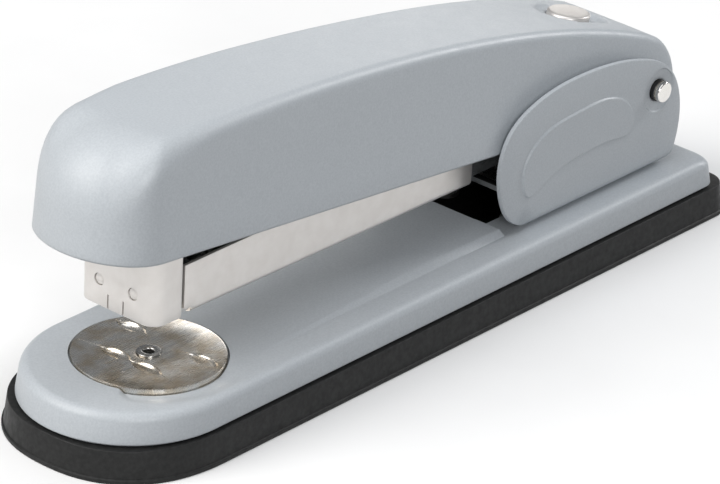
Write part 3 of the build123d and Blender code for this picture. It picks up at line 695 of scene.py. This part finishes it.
def plate_spots():
    """Spots in lanes along the hump and in rings over the finger hollow."""
    spots = []
    for x in np.arange(hump_rear - 4, hump_front + 2, 1.1):
        shoulder = hump_shoulder(x)
        band = hump_half - shoulder
        lanes = list(np.arange(0.8, 8.0, 1.4)) + [9.0, 10.0]
        lanes += [shoulder - 0.25, shoulder, shoulder + 0.2 * band, shoulder + 0.8 * band]
        lanes += [hump_half + out for out in (0.0, 0.2, 0.9, 1.9)]
        spots += [(x, side * y) for y in lanes for side in (1, -1)]
    turns = np.concatenate([np.arange(14, 31, 1.0), np.arange(32, 140, 3.0)])
    for turn in np.radians(turns):
        for out in (0.35, 0.8, 1.4, 2.1, 2.9, 3.8):
            reach = anvil_radius + well_gap + out
            spots.append((anvil_x + reach * cos(turn), reach * sin(turn)))
    return spots


def make_plate():
    """Pressed plate with a hump, an open window behind it and a well for the anvil."""
    lip, corner, shoulder = (seam_depth, plate_lip), (0.0, plate_lip), (plate_lean, plate_top)
    lip_round = 0.3
    hollow_foot = plate_lip + 1.0
    profile = [(seam_depth, sole_top), lip]
    profile += rounded(lip, corner, shoulder, lip_round, 4)
    profile += rounded(corner, shoulder, (plate_half, plate_top), plate_round, 9)
    under = plate_top - plate_wall

    def upper(x, y):
        """Point of the outer face."""
        return x, y, plate_surface(x, y)

    def lower(x, y):
        """Point of the face underneath."""
        return x, y, under + hump(x, y)

    outer = []
    for inset, z in profile:
        weight = smooth((z - hollow_foot) / (plate_top - hollow_foot))
        outer.append([(x, y, h - weight * notch(x, y)) for x, y, h in plate_loop(inset, z)])
    edge = [p[:2] for p in outer[-1]]
    inner = [plate_loop(plate_wall + 0.3, sole_top), plate_loop(2 * plate_wall, under - 0.5)]
    inner.append([(x, y, under) for x, y in edge])
    form = Form()
    form.skin(outer)
    form.skin(inner)
    form.skin([inner[0], outer[0]])

    well = circle(anvil_x, 0, anvil_radius + well_gap, 180)
    hole = circle(anvil_x, 0, well_hole, 180)
    window = window_loop()
    loops = [edge, well, window]
    clear = 0.3
    spots = plate_spots()
    near = [moved_in(edge, clear), moved_in(well, -clear), moved_in(window, -clear)]
    spots = np.array(spots)[inside(spots, near)]
    for place in (upper, lower):
        form.fill(loops, place, spots, hump_drops())
    form.skin([[place(x, y) for x, y in window] for place in (upper, lower)])
    floor = plate_top - well_depth
    levels = [(well, floor), (hole, floor), (hole, floor - well_wall), (well, floor - well_wall)]
    rows = [[upper(x, y) for x, y in well]]
    rows += [[(x, y, z) for x, y in loop] for loop, z in levels]
    form.skin(rows + [[lower(x, y) for x, y in well]])
    form.piece("base_top", "base", "paint", ["base_plate"])


# Anvil


def pocket_leaves():
    """Middle, half length and half width of each pocket in the disc."""
    leaves = []
    for side in (1, -1):
        leaves.append((anvil_x + pocket_row, side * 3.5, 3.45, 1.45))
        leaves.append((anvil_x - pocket_row, side * 8.1, 3.3, 1.5))
    return leaves


def pocket_slits():
    """Start, length and half width of the short slits beside the close pockets."""
    return [(anvil_x + pocket_row + 1.1, side * 1.95, 2.9, 0.22) for side in (1, -1)]


def pocket_taper(u):
    """Share of a pocket's width that is left towards its pointed ends."""
    return (1 - u * u) ** 0.8


def pocket_sink(x, y):
    """Depth of the pockets and slits at a spot on the disc."""
    for cx, cy, half, wide in pocket_leaves():
        u = (y - cy) / half
        if abs(u) < 1:
            v = (x - cx) / (wide * pocket_taper(u) + 1e-6)
            if abs(v) < 0.999:
                return pocket_depth * (1 - u * u) ** 0.5 * (1 - v * v) ** 0.6
    for sx, sy, length, half in pocket_slits():
        if 0 < x - sx < length and abs(y - sy) < half:
            return slit_depth * (1 - abs(y - sy) / half) * min(1.0, (length - x + sx) / slit_run_out)
    return 0.0


def make_anvil():
    """Disc with two pairs of leaf-shaped pockets and two short slits."""

    def place(x, y, depth):
        """Point of the disc, sunk in the pockets."""
        sunk = pocket_sink(x, y) if depth == 0.0 else 0.0
        return x, y, anvil_top - depth - sunk

    spots = []
    creases = []
    for cx, cy, half, wide in pocket_leaves():
        spots += [(cx, cy + u * half) for u in np.linspace(-0.9, 0.9, 13)]
        us = np.linspace(-0.97, 0.97, 24)
        for share in (1.0, 0.95, 0.82, 0.6, 0.3):
            left = [(cx - share * wide * pocket_taper(u), cy + u * half) for u in us]
            right = [(cx + share * wide * pocket_taper(u), cy + u * half) for u in us]
            creases.append(left + right[::-1])
    for sx, sy, length, half in pocket_slits():
        spots += [(x, sy + across) for x in np.linspace(sx, sx + length, 9) for across in (-half, 0, half)]
    edge = 0.4
    rim = circle(anvil_x, 0, anvil_radius, 144)
    eye = circle(anvil_x, 0, eyelet_radius - 0.25, 36)
    form = Form()
    form.sheet([rim, eye], place, disc_high[2] - disc_low[2], edge, spots, creases)
    form.piece("anvil", "anvil", "nickel", ["anvil_disc"], "disc", sharp=24)


def lathe(form, profile, centre, axis, count=48):
    """Turn a profile of radius and height about an axis through a point."""
    axis = Vector(axis).normalized()
    turn = axis.to_track_quat("Z", "X").to_matrix()
    rows = []
    for radius, height in profile:
        ring = circle(0, 0, max(radius, 1e-4), count)
        rows.append([Vector(centre) + turn @ Vector((x, y, height)) for x, y in ring])
    hollow = profile[0][0] > 0.01
    form.skin(rows, ring=hollow)


def make_eyelet():
    """Hollow rivet with a rolled lip at the middle of the disc."""
    low, high = cad("anvil_rivet")
    foot, top = low[2] - anvil_top, high[2] - anvil_top
    bore, lip, shank, flange = 0.95, eyelet_radius, eyelet_radius - 0.3, 2.6
    seat, flange_top = 0.02, foot + 0.3
    profile = rounded((bore, foot), (bore, top), (lip, top), 0.4, 5)
    profile += rounded((bore, top), (lip, top), (lip, 0.0), 0.2, 4)
    profile += [(lip, seat), (shank, seat), (shank, flange_top)]
    profile += [(flange, flange_top), (flange, foot), (bore, foot)]
    form = Form()
    lathe(form, profile, (anvil_x, 0, anvil_top), (0, 0, 1))
    form.piece("anvil_eyelet", "anvil", "nickel", ["anvil_rivet"], "spring")


# Hinge bracket


def on_cheek(shape):
    """Shares of a cheek's length and height as x and z."""
    return [(cheek_rear + u * cheek_length, plate_top + v * cheek_height) for u, v in shape]


def unrolled(points, side):
    """Points of a cheek as x and the run along the flat sheet from the middle of the floor."""
    return [(x, side * (floor_half + bend_run + z - bracket_seat - bend)) for x, z in points]


def bent(foot, end, side, shares):
    """Points across a bend, from a cheek's foot to the end of the floor."""
    return [(foot + (end - foot) * t, side * (floor_half + bend_run * (1 - t))) for t in shares]


def bracket_outlines():
    """Outlines of the painted sheet and of the dark inner sheet that paints shade in the hollow, before
    folding, and places along the bends.
    """
    steps = 12
    curve = spline(on_cheek(cheek_shape), steps)
    level = bracket_seat + bend
    ends = (curve[: 2 * steps], curve[::-1][: 2 * steps])
    feet = [np.array([np.interp(level, end[:, 1], end[:, 0]), level]) for end in ends]
    lobe = [feet[0]] + [p for p in curve if p[1] > level] + [feet[1]]
    front, rear = curve[0][0], curve[-1][0]
    sides = np.linspace(-floor_half, floor_half, 39)
    rise, fall = (0.33, 0.67), (0.67, 0.33)
    found = []
    # The second outline is the dark painted-shade sheet: it leaves out the near cheek, so only the floor and
    # the far cheek's inside are darkened.
    for near, cut in ((lobe, painted_cut), (feet, shade_sheet_cut)):
        loop = unrolled(near, 1) + bent(feet[1][0], rear, 1, rise)
        loop += [(rear, s) for s in sides[::-1]] + bent(feet[1][0], rear, -1, fall)
        loop += unrolled(lobe[::-1], -1) + bent(feet[0][0], front, -1, rise)
        loop += [(front - cut * smooth((floor_half - abs(s)) / cut_ease), s) for s in sides]
        found.append(loop + bent(feet[0][0], front, 1, fall))
    return found, np.linspace(rear + 1, front - 1, 30)


def make_bracket():
    """U of sheet metal: a floor, two bends and two cheeks with a raised panel and a boss."""
    panel = spline(on_cheek(panel_shape), 8, closed=True)
    levels = {}
    creases, holes, raised, sunk = [], [], [], []
    for side in (1, -1):
        for draw, share in pressed_edge:
            rim = unrolled(moved_in(panel, draw), side)
            ring = unrolled(circle(pin_x, pin_z, boss_radius - draw, 48), side)
            creases += [rim, ring]
            levels.update({spot_key(*p): panel_rise * share for p in rim})
            levels.update({spot_key(*p): -boss_sunk * share for p in ring})
        raised.append(rim)
        sunk.append(ring)
        holes.append(unrolled(circle(pin_x, pin_z, pin_radius + pin_gap, 36), side))

    def relief(x, s):
        """Height of the panel and the boss over the cheek."""
        if spot_key(x, s) in levels:
            return levels[spot_key(x, s)]
        if inside([(x, s)], raised)[0]:
            return panel_rise
        return -boss_sunk if inside([(x, s)], sunk)[0] else 0.0

    def place(x, s, depth):
        """Point of the painted sheet."""
        y, up = folded(s, floor_half, bend, depth)
        if up >= bend and depth < bracket_skin:
            y += np.sign(s) * relief(x, s)
        return x, y, bracket_seat + up

    def shade_sheet_point(x, s, depth):
        """Point of the dark inner sheet that paints shade in the bracket's hollow."""
        return place(x, s, depth + bracket_skin)

    (painted, shade_sheet), xs = bracket_outlines()
    spots = []
    for side in (1, -1):
        for share in np.linspace(0, 1, 8):
            spots += [(x, side * (floor_half + share * bend_run)) for x in xs]
    form = Form()
    form.sheet([painted] + holes, place, bracket_skin, bracket_edge, spots, creases)
    form.piece("bracket", "base", "paint", ["hinge_bracket"], sharp=40)
    # A near-black sheet inside the floor and far cheek: painted shade in the hollow, not a part of the
    # stapler.
    form = Form()
    form.sheet([shade_sheet, holes[-1]], shade_sheet_point, bracket_wall - bracket_skin, shade_sheet_edge, spots, creases)
    form.piece("bracket_painted_shade", "base", "paint", look="painted_shade", sharp=40)


def make_pin():
    """Pin with a flat end and a groove near each end, and dark rings against the cheeks that are painted
    shade round the pin.
    """
    end = pin_high[1] - pin_short
    groove_out, groove_in = end - 0.7, end - 1.05
    groove_radius = pin_radius - 0.5
    half = rounded((0, end), (pin_radius, end), (pin_radius, groove_out), 0.25, 4)
    half += [(pin_radius, groove_out), (groove_radius, groove_out)]
    half += [(groove_radius, groove_in), (pin_radius, groove_in)]
    profile = [(0, end)] + half + [(r, -y) for r, y in reversed(half)] + [(0, -end)]
    form = Form()
    lathe(form, profile, (pin_x, 0, pin_z), (0, 1, 0), 40)
    form.piece("pin", "base", "bright", ["hinge_pin"])
    # Dark rings between each cheek and the pin's groove: painted shade round the pin, standing where the
    # shank lies in shadow.
    form = Form()
    low, bore, outer = cheek_half - 0.6, pin_radius - 0.1, pin_radius + 0.06
    shade_ring = [(bore, low), (outer, low), (outer, groove_in - 0.08)]
    shade_ring += [(pin_radius - 0.02, groove_in), (bore, groove_in)]
    for side in (1, -1):
        lathe(form, shade_ring, (pin_x, 0, pin_z), (0, side, 0), 40)
    form.piece("pin_shade_rings", "base", "steel", look="painted_shade")


# Cap


def cap_rim(x):
    """Height of the cap's lower rim."""
    return cap_rim_front + cap_slope * (x - cap_front)


def cap_top(x):
    """Height of the cap's ridge."""
    return float(np.polyval(cap_top_curve, x))


def cap_round(x):
    """Radius of the long edge, tight along the sides and softer at the nose."""
    return read_off(cap_edge, x)


def cap_lean(x):
    """How far the side leans in for its height: steep at the nose, more at the rear."""
    return read_off(cap_side_lean, x)


def cap_arch(y):
    """Slight rise of the cap's top towards its middle."""
    return cap_crown * max(0.0, 1 - (y / cap_crown_half) ** 2)


def rear_line(depth):
    """Places up the middle of the cap's open rear end and round its bow."""
    back = cap_rear + depth
    rim, top = (back, cap_rim(back)), (back, cap_top(back) - depth)
    ahead = (cap_bow_aim, cap_top(cap_bow_aim) - depth)
    bow = rounded(ahead, top, rim, cap_bow - depth, 12)
    start = rim[1] + 0.01
    return [(back, z) for z in np.linspace(start, bow[-1][1], 5)[:-1]] + bow[::-1]


def side_rib(foot, x, z, radius, depth):
    """Half rib of the side, from a foot on the rim to the ridge."""
    half = cap_half - depth
    lean = (z - cap_rim(x)) * cap_lean(x)
    soft = max(radius - depth, cap_least_round)
    return (foot, half, cap_rim(foot)), (x, half - lean, z), (x, 0, z), soft


def nose_feet(depth):
    """Feet of the nose's ribs on the rim, each with its way inward and its share of the run."""
    half, reach = cap_half - depth, cap_reach - depth
    middle = cap_front - cap_reach
    feet = [((x, half), (0, -1)) for x in np.linspace(cap_side_end, middle, 8)[1:]]
    for a in np.linspace(pi / 2, 0, 25)[1:]:
        way = np.array([-cos(a) / reach, -sin(a) / half])
        feet.append(((middle + reach * cos(a), half * sin(a)), way / np.linalg.norm(way)))
    line = [(cap_side_end, half)] + [foot for foot, _ in feet]
    run = np.linalg.norm(np.diff(line, axis=0), axis=1).cumsum()
    return [(*foot, way, share) for (foot, way), share in zip(feet, run / run[-1])]


def nose_rib(x, y, way, share, depth):
    """Half rib of the nose, which leans in from its foot and ends on the ridge."""
    tilt = cap_nose_lean + (cap_lean(x) - cap_nose_lean) * way[1] ** 2
    z = cap_top(x) - depth
    for _ in range(4):
        lean = (z - cap_rim(x)) * tilt
        corner = (x + way[0] * lean, y + way[1] * lean, z)
        z = cap_top(corner[0]) - depth
    top = cap_side_end + (cap_nose_top - cap_side_end) * share
    ease = smooth((share - cap_soft_start) / cap_soft_run)
    soft = cap_round(x) + (cap_front_round - cap_round(x)) * ease
    return (x, y, cap_rim(x)), corner, (top, 0, cap_top(top) - depth), soft - depth


def cap_ribs(depth):
    """Half ribs of the near side from the rear end to the nose, as rim, corner, top and radius."""
    rear = rear_line(depth)
    feet = np.linspace(cap_foot_rear, cap_foot_front, len(rear))
    ribs = [side_rib(foot, x, z, cap_rear_round, depth) for foot, (x, z) in zip(feet, rear)]
    first = rear[-1][0]
    for share in np.linspace(0, 1, 76)[1:]:
        x = first + (cap_side_end - first) * share
        foot = cap_foot_front + (cap_side_end - cap_foot_front) * share
        ribs.append(side_rib(foot, x, cap_top(x) - depth, cap_round(x), depth))
    return ribs + [nose_rib(*foot, depth) for foot in nose_feet(depth)]


def cap_rib_points(rib, turned):
    """Points of a half rib: a turned-in rim, the side, the round edge and the top."""
    rim, corner, top, radius = (np.array(v, float) for v in rib)
    side = (corner - rim) / np.linalg.norm(corner - rim)
    arc = rounded(rim, corner, top, float(radius), 10)
    inward = np.array([top[0] - corner[0], top[1] - corner[1], 0.0])
    inward /= max(np.linalg.norm(inward), 1e-6)
    points = []
    if turned:
        for t in (0.0, 0.35, 0.7):
            points.append(rim + side * cap_roll_height * t + inward * cap_roll * (1 - t) ** 2)
    start = rim + side * cap_roll_height
    points += [start + (arc[0] - start) * t for t in np.linspace(0, 1, 7)[:-1]]
    points += arc
    points += [arc[-1] + (top - arc[-1]) * t for t in np.linspace(0, 1, 11)[1:]]
    crowned = []
    for x, y, z in points:
        share = smooth((z - cap_rim(x) - cap_crown_foot) / cap_crown_ease)
        crowned.append((x, y, z + cap_arch(y) * share))
    return crowned


def button_axes():
    """Spot on the cap's top at the button, the way along the slope and the way out."""
    rise = np.polyval(np.polyder(cap_top_curve), button_x)
    along = Vector((1, 0, rise)).normalized()
    return Vector((button_x, 0, cap_top(button_x) + cap_crown)), along, Vector((-along.z, 0, along.x))


def dish(x, y):
    """Depth of the long shallow dish round the button."""
    u, v = (x - button_x + dish_back) / dish_half_length, y / dish_half_width
    reach = (abs(u) ** dish_power + abs(v) ** dish_power) ** (1 / dish_power)
    return dish_depth * (1 - smooth((reach - dish_floor) / (1 - dish_floor)))


def dish_surface(border, depth):
    """A function that places points of the dish, meeting the ribs along a border."""
    heights = {spot_key(x, y): z for x, y, z in border}

    def surface(x, y):
        """Point of the dish."""
        level = cap_top(x) + cap_arch(y) - depth - dish(x, y)
        return x, y, heights.get(spot_key(x, y), level)

    return surface


def make_cap():
    """Shell with a soft nose, a dish with a hole for the button and a turned rim."""
    form = Form()
    spot, along, out = button_axes()
    hole = [(spot.x + along.x * a, b) for a, b in circle(0, 0, button_radius + button_gap, 48)]
    grid = [(x, y) for x in np.arange(*dish_span, 0.55) for y in np.arange(-6, 6.1, 0.5)]
    rims, ends, bores = [], [], []
    for depth in (0.0, cap_wall):
        near = [cap_rib_points(rib, depth == 0.0) for rib in cap_ribs(depth)]
        far = [[(x, -y, z) for x, y, z in rib] for rib in near]
        count = len(near[0])
        cut = count - 1 - dish_strips
        open_ribs = [k for k, rib in enumerate(near) if dish_span[0] < rib[-1][0] < dish_span[1]]
        first, final = open_ribs[0], open_ribs[-1]
        for half in (near, far):
            numbers = [form.row(rib) for rib in half]
            for k, (lower, upper) in enumerate(zip(numbers, numbers[1:])):
                stop = cut + 1 if first <= k < final else count
                form.bridge(lower[:stop], upper[:stop], closed=False)
        border = near[first][cut:] + far[first][-2 : cut - 1 : -1]
        border += [far[k][cut] for k in range(first + 1, final)]
        border += far[final][cut:] + near[final][-2 : cut - 1 : -1]
        border += [near[k][cut] for k in range(final - 1, first, -1)]
        surface = dish_surface(border, depth)
        loop = [p[:2] for p in border]
        bore = [(x - depth * out.x / out.z, y) for x, y in hole]
        spots = np.array(grid)[inside(grid, [moved_in(loop, 0.35), moved_in(bore, -0.25)])]
        form.fill([loop, bore], surface, spots)
        bores.append([surface(x, y) for x, y in bore])
        rims.append([rib[0] for rib in near] + [rib[0] for rib in far[::-1]][1:])
        ends.append(near[0] + far[0][::-1][1:])
    form.skin(rims, closed=False)
    form.skin(bores)
    extra = (len(ends[0]) - len(ends[1])) // 2
    form.skin([ends[0][extra:-extra], ends[1]], closed=False)
    form.piece("cap", "handle", "paint", ["cap_shell"], sharp=38)


def make_button():
    """Turned button with a softly dished face that leans back, and a rounded rim."""
    spot, along, out = button_axes()
    face, edge, foot = button_proud, button_proud - 0.12, -1.65
    flat, stem, stem_foot = 3.0, 1.6, -5.4
    lean_foot, lean_rise = -1.5, 1.2
    profile = [(0, face), (1.2, face - 0.01), (2.2, face - 0.03), (flat, face - 0.07)]
    profile += rounded((flat, edge + 0.05), (button_radius, edge), (button_radius, foot), 0.5, 7)
    profile += [(button_radius, foot), (stem, foot), (stem, stem_foot), (0, stem_foot)]
    form = Form()
    lathe(form, profile, spot, out, 56)

    def leaned(point):
        """A point of the button, leaned with its face."""
        away = Vector(point) - spot
        share = smooth((away.dot(out) - lean_foot) / lean_rise)
        return Vector(point) - out * float(button_tilt * away.dot(along) * share)

    form.points = [tuple(leaned(point)) for point in form.points]
    form.piece("button", "button", "bright", ["release_button"], "nickel")


# Rail


def make_cover():
    """Bright channel round the rail, folded from one sheet, with its floor cut back in front."""
    half, low, high = cover_high[1], cover_low[2], cover_high[2] + cover_rise
    rear, front = cover_low[0], cover_high[0]
    wall, edge, fold = 0.55, 0.14, 1.1
    flat = half - fold
    bent_end = flat + fold * pi / 2
    top = bent_end + high - low - fold

    def place(x, s, depth):
        """Point of the cover, which sags towards the rear along its floor."""
        y, up = folded(s, flat, fold, depth)
        sag = cover_sag * (front - x) / (front - rear)
        share = max(0.0, (up - fold) / (high - low - fold))
        return x, y, low + up - sag * (1 - share)

    ss = np.concatenate([-np.linspace(top, bent_end, 9), -np.linspace(bent_end, flat, 8)[1:]])
    ss = np.concatenate([ss, -ss[::-1]])
    xs = np.linspace(rear, front, 25)
    step = [(0.0, 0.5), (-0.08, 0.2), (-0.28, 0.05), (-0.6, 0.0), (-cover_cut, 0.0)]
    fore = [(front, s) for s in np.linspace(-top, -bent_end - 0.5, 8)[1:-1]]
    fore += [(front + dx, -bent_end - ds) for dx, ds in step]
    fore += [(front - cover_cut, s) for s in np.linspace(-bent_end, 0, 12)[1:]]
    fore += [(x, -s) for x, s in fore[-2::-1]]
    outline = [(x, ss[0]) for x in xs] + fore
    outline += [(x, ss[-1]) for x in xs[::-1]] + [(rear, s) for s in ss[::-1][1:-1]]
    grid = [(x, s) for x in xs[1:-1] for s in ss[1:-1]]
    spots = [(x, s) for x, s in grid if x < front - cover_cut - 0.3 or abs(s) > bent_end + 0.6]
    form = Form()
    form.sheet([outline], place, wall, edge, spots)
    form.piece("rail_cover", "magazine", "nickel", ["magazine_cover"])


def make_nose():
    """Folded nose piece with two slits, and two stamped rivets in its front."""
    half, low, high = nose_high[1], nose_low[2], nose_high[2]
    front, rear = nose_high[0], nose_low[0]
    wall, edge, fold = 1.15, 0.1, 2.7
    flat = half - fold
    bent_end = flat + fold * pi / 2
    reach = bent_end + front - fold - rear
    mark_y, mark_z, mark_radius, mark_gap = 3.75, low + 4.7, 1.0, 0.06
    slit_y, slit_half, slit_top = 1.7, 0.12, low + 2.6

    def place(s, z, depth):
        """Point of the nose piece."""
        y, back = folded(s, flat, fold, depth)
        return front - back, y, z

    ss = np.concatenate([np.linspace(-reach, -bent_end, 6), np.linspace(-bent_end, -flat, 12)[1:]])
    zs = np.linspace(low, high, 9)
    outline = [(s, low) for s in ss]
    for side in (-1, 1):
        left, right = side * slit_y - slit_half, side * slit_y + slit_half
        outline += [(left, low), (left, slit_top), (right, slit_top), (right, low)]
    outline += [(s, low) for s in -ss[::-1]]
    outline += [(reach, z) for z in zs[1:]]
    outline += [(s, high) for s in -ss[1:]] + [(s, high) for s in ss[::-1][:-1]]
    outline += [(-reach, z) for z in zs[::-1][:-1]]
    marks = [circle(side * mark_y, mark_z, mark_radius + mark_gap, 32) for side in (1, -1)]
    spots = [(s, z) for s in np.concatenate([ss[1:], -ss[1:]]) for z in zs[1:-1]]
    form = Form()
    form.sheet([outline] + marks, place, wall, edge, spots)
    form.piece("nose", "drawer", "nickel", ["nose_plate"])
    form = Form()
    profile = [(0, -0.5), (0.4, -0.48), (0.7, -0.38)]
    profile += rounded((0.7, -0.38), (mark_radius, -0.24), (mark_radius, -0.9), 0.06, 3)
    profile += [(mark_radius, -1.1), (0, -1.1)]
    for side in (1, -1):
        lathe(form, profile, (front, side * mark_y, mark_z), (1, 0, 0), 32)
    form.piece("nose_marks", "drawer", "nickel", ["nose_rivets"])


# Springs


def make_leaf():
    """Leaf spring: a flat foot, a rising blade and a tip turned down under the rail."""
    half, thick, ease = leaf_high[1], 0.5, 0.12
    low, high = leaf_low[2] + thick / 2, leaf_high[2] - thick / 2
    rear, tip = leaf_low[0], leaf_high[0]
    foot = rear + 14.0
    path = [(rear, low), (foot - 2.5, low), (foot, low + 0.4)]
    path += [(tip - 6.5, high - 1.6), (tip - 3.2, high), (tip, high - 0.6)]
    line = spline(path, 8)
    corners = [(-half, 1 - ease), (-half + ease, 1), (half - ease, 1), (half, 1 - ease)]
    corners += [(half, -1 + ease), (half - ease, -1), (-half + ease, -1), (-half, -1 + ease)]
    rows = []
    for (x, z), (dx, dz) in zip(line, directions(line)):
        up = np.array([-dz, dx]) * thick / 2
        rows.append([(x + up[0] * v, y, z + up[1] * v) for y, v in corners])
    form = Form()
    form.skin(rows, ends=True)
    leaf = form.piece("leaf_spring", "base", "spring", ["lift_spring"])
    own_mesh(leaf)


def wire_form(line, radius, sides=8):
    """Round wire along a line of points, closed at both ends."""
    line = np.array(line, float)
    ways = directions(line)
    up = np.cross(ways[0], (0.3, 0.5, 0.81))
    turns = np.arange(sides) * 2 * pi / sides
    rows = []
    for spot, way in zip(line, ways):
        up = up - way * (up @ way)
        up /= np.linalg.norm(up)
        aside = np.cross(way, up)
        rows.append([spot + radius * (up * cos(t) + aside * sin(t)) for t in turns])
    form = Form()
    form.skin(rows, ends=True)
    return form


def helix(radius, length, turns, per_turn=20):
    """Points of a helix about Z."""
    steps = np.arange(round(turns * per_turn) + 1) / per_turn
    a = steps * 2 * pi
    return np.stack([radius * np.cos(a), radius * np.sin(a), length * steps / turns], axis=1)


def make_feed_spring():
    """Long spring round the rod, which pushes the staples forward."""
    wire, radius, turns = 0.5, 1.85, 24
    rod = (feed_low[2] + feed_high[2]) / 2
    line = helix(radius, feed_high[0] - feed_low[0] - wire, turns)
    form = wire_form([(feed_low[0] + wire / 2 + z, y, rod - x) for x, y, z in line], wire / 2)
    feed = form.piece("feed_spring", "magazine", "spring", ["pusher_spring"])
    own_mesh(feed)


def make_return_spring():
    """Coil on the hinge pin with a straight leg at each end."""
    wire, radius, turns = 0.9, 3.5, 5.5
    leg = radius + wire
    length = coil_high[1] - coil_low[1] - wire
    line = helix(radius, length, turns)
    start, stop = line[0] - line[1], line[-1] - line[-2]
    first = line[0] + start / np.linalg.norm(start) * leg
    last = line[-1] + stop / np.linalg.norm(stop) * leg
    line = np.vstack([first, line, last])
    form = wire_form([(pin_x - y, length / 2 - z, pin_z + x) for x, y, z in line], wire / 2)
    form.piece("return_spring", "magazine", "spring", ["handle_spring"])


def make_key_spring():
    """Short spring under the button."""
    wire, radius, turns = 0.35, 2.35, 2
    low, high = -3.7, -1.95
    spot, along, out = button_axes()
    turn = Matrix((along, Vector((0, 1, 0)), out)).transposed()
    line = helix(radius, high - low, turns, 28)
    form = wire_form([spot + turn @ Vector((x, y, z + low)) for x, y, z in line], wire / 2)
    spring = form.piece("key_spring", "handle", "spring", ["button_spring"])
    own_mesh(spring)


def finish_nodes():
    """Give every CAD node that still shows its finish."""
    for row in frame["record"]["subparts"]:
        node = frame["nodes"][row["node"]]
        node.data.materials.clear()
        node.data.materials.append(finishes[row["material_slot"]])


# Studio


def make_floor():
    """Pale floor that sends little of its light back onto the part."""
    corners = [(-floor_size, -floor_size, 0), (floor_size, -floor_size, 0)]
    corners += [(floor_size, floor_size, 0), (-floor_size, floor_size, 0)]
    mesh = bpy.data.meshes.new("floor")
    mesh.from_pydata(corners, [], [(0, 1, 2, 3)])
    finish = Finish("floor")
    finish.colour(finish.noise(40.0), (0.90, 0.90, 0.90), (0.93, 0.93, 0.93))
    finish.shader.inputs["Roughness"].default_value = 0.9
    nodes = finish.tree.nodes
    rays = nodes.new("ShaderNodeLightPath").outputs
    bounced = nodes.new("ShaderNodeBsdfDiffuse")
    bounced.inputs["Color"].default_value = (0.34, 0.34, 0.34, 1.0)
    shown = bounced.outputs["BSDF"]
    for ray in ("Is Glossy Ray", "Is Camera Ray"):
        mix = nodes.new("ShaderNodeMixShader")
        finish.link(rays[ray], mix.inputs[0])
        finish.link(shown, mix.inputs[1])
        finish.link(finish.shader.outputs["BSDF"], mix.inputs[2])
        shown = mix.outputs["Shader"]
    finish.link(shown, nodes["Material Output"].inputs["Surface"])
    mesh.materials.append(finish.material)
    floor = add_object("floor", mesh)


def make_light():
    """Dim even surroundings and soft square lamps that face the part."""
    world = bpy.data.worlds.new("studio")
    bpy.context.scene.world = world
    world.use_nodes = True
    background = world.node_tree.nodes["Background"]
    background.inputs["Color"].default_value = (0.93, 0.96, 1.0, 1.0)
    background.inputs["Strength"].default_value = 0.2
    for name, place, size, power, colour in lamps:
        light = bpy.data.lights.new(name, "AREA")
        light.size = size
        light.energy = power
        light.color = colour
        lamp = add_object(name, light)
        lamp.location = place
        lamp.rotation_mode = "QUATERNION"
        lamp.rotation_quaternion = Vector(place).to_track_quat("Z", "Y")


def make_camera():
    """Camera at the photograph's angle, rolled a little to one side."""
    azimuth, elevation, roll = (radians(a) for a in (camera_azimuth, camera_elevation, camera_roll))
    back = Vector((sin(azimuth) * cos(elevation), -cos(azimuth) * cos(elevation), sin(elevation)))
    right = Vector((0, 0, 1)).cross(back).normalized()
    up = back.cross(right)
    right, up = right * cos(roll) + up * sin(roll), up * cos(roll) - right * sin(roll)
    turn = Matrix((right, up, back)).transposed().to_4x4()
    data = bpy.data.cameras.new("camera")
    data.sensor_width = 36.0
    data.lens = camera_lens
    data.clip_start = 0.01
    camera = add_object("camera", data)
    camera.matrix_world = Matrix.Translation((Vector(camera_aim) + back * camera_distance) * MM) @ turn
    bpy.context.scene.camera = camera


make_sole()
make_plate()
make_anvil()
make_eyelet()
make_bracket()
make_pin()
make_cap()
make_button()
make_cover()
make_nose()
make_leaf()
make_feed_spring()
make_return_spring()
make_key_spring()
finish_nodes()
make_floor()
make_light()
make_camera()
bpy.context.scene.view_settings.view_transform = "Standard"
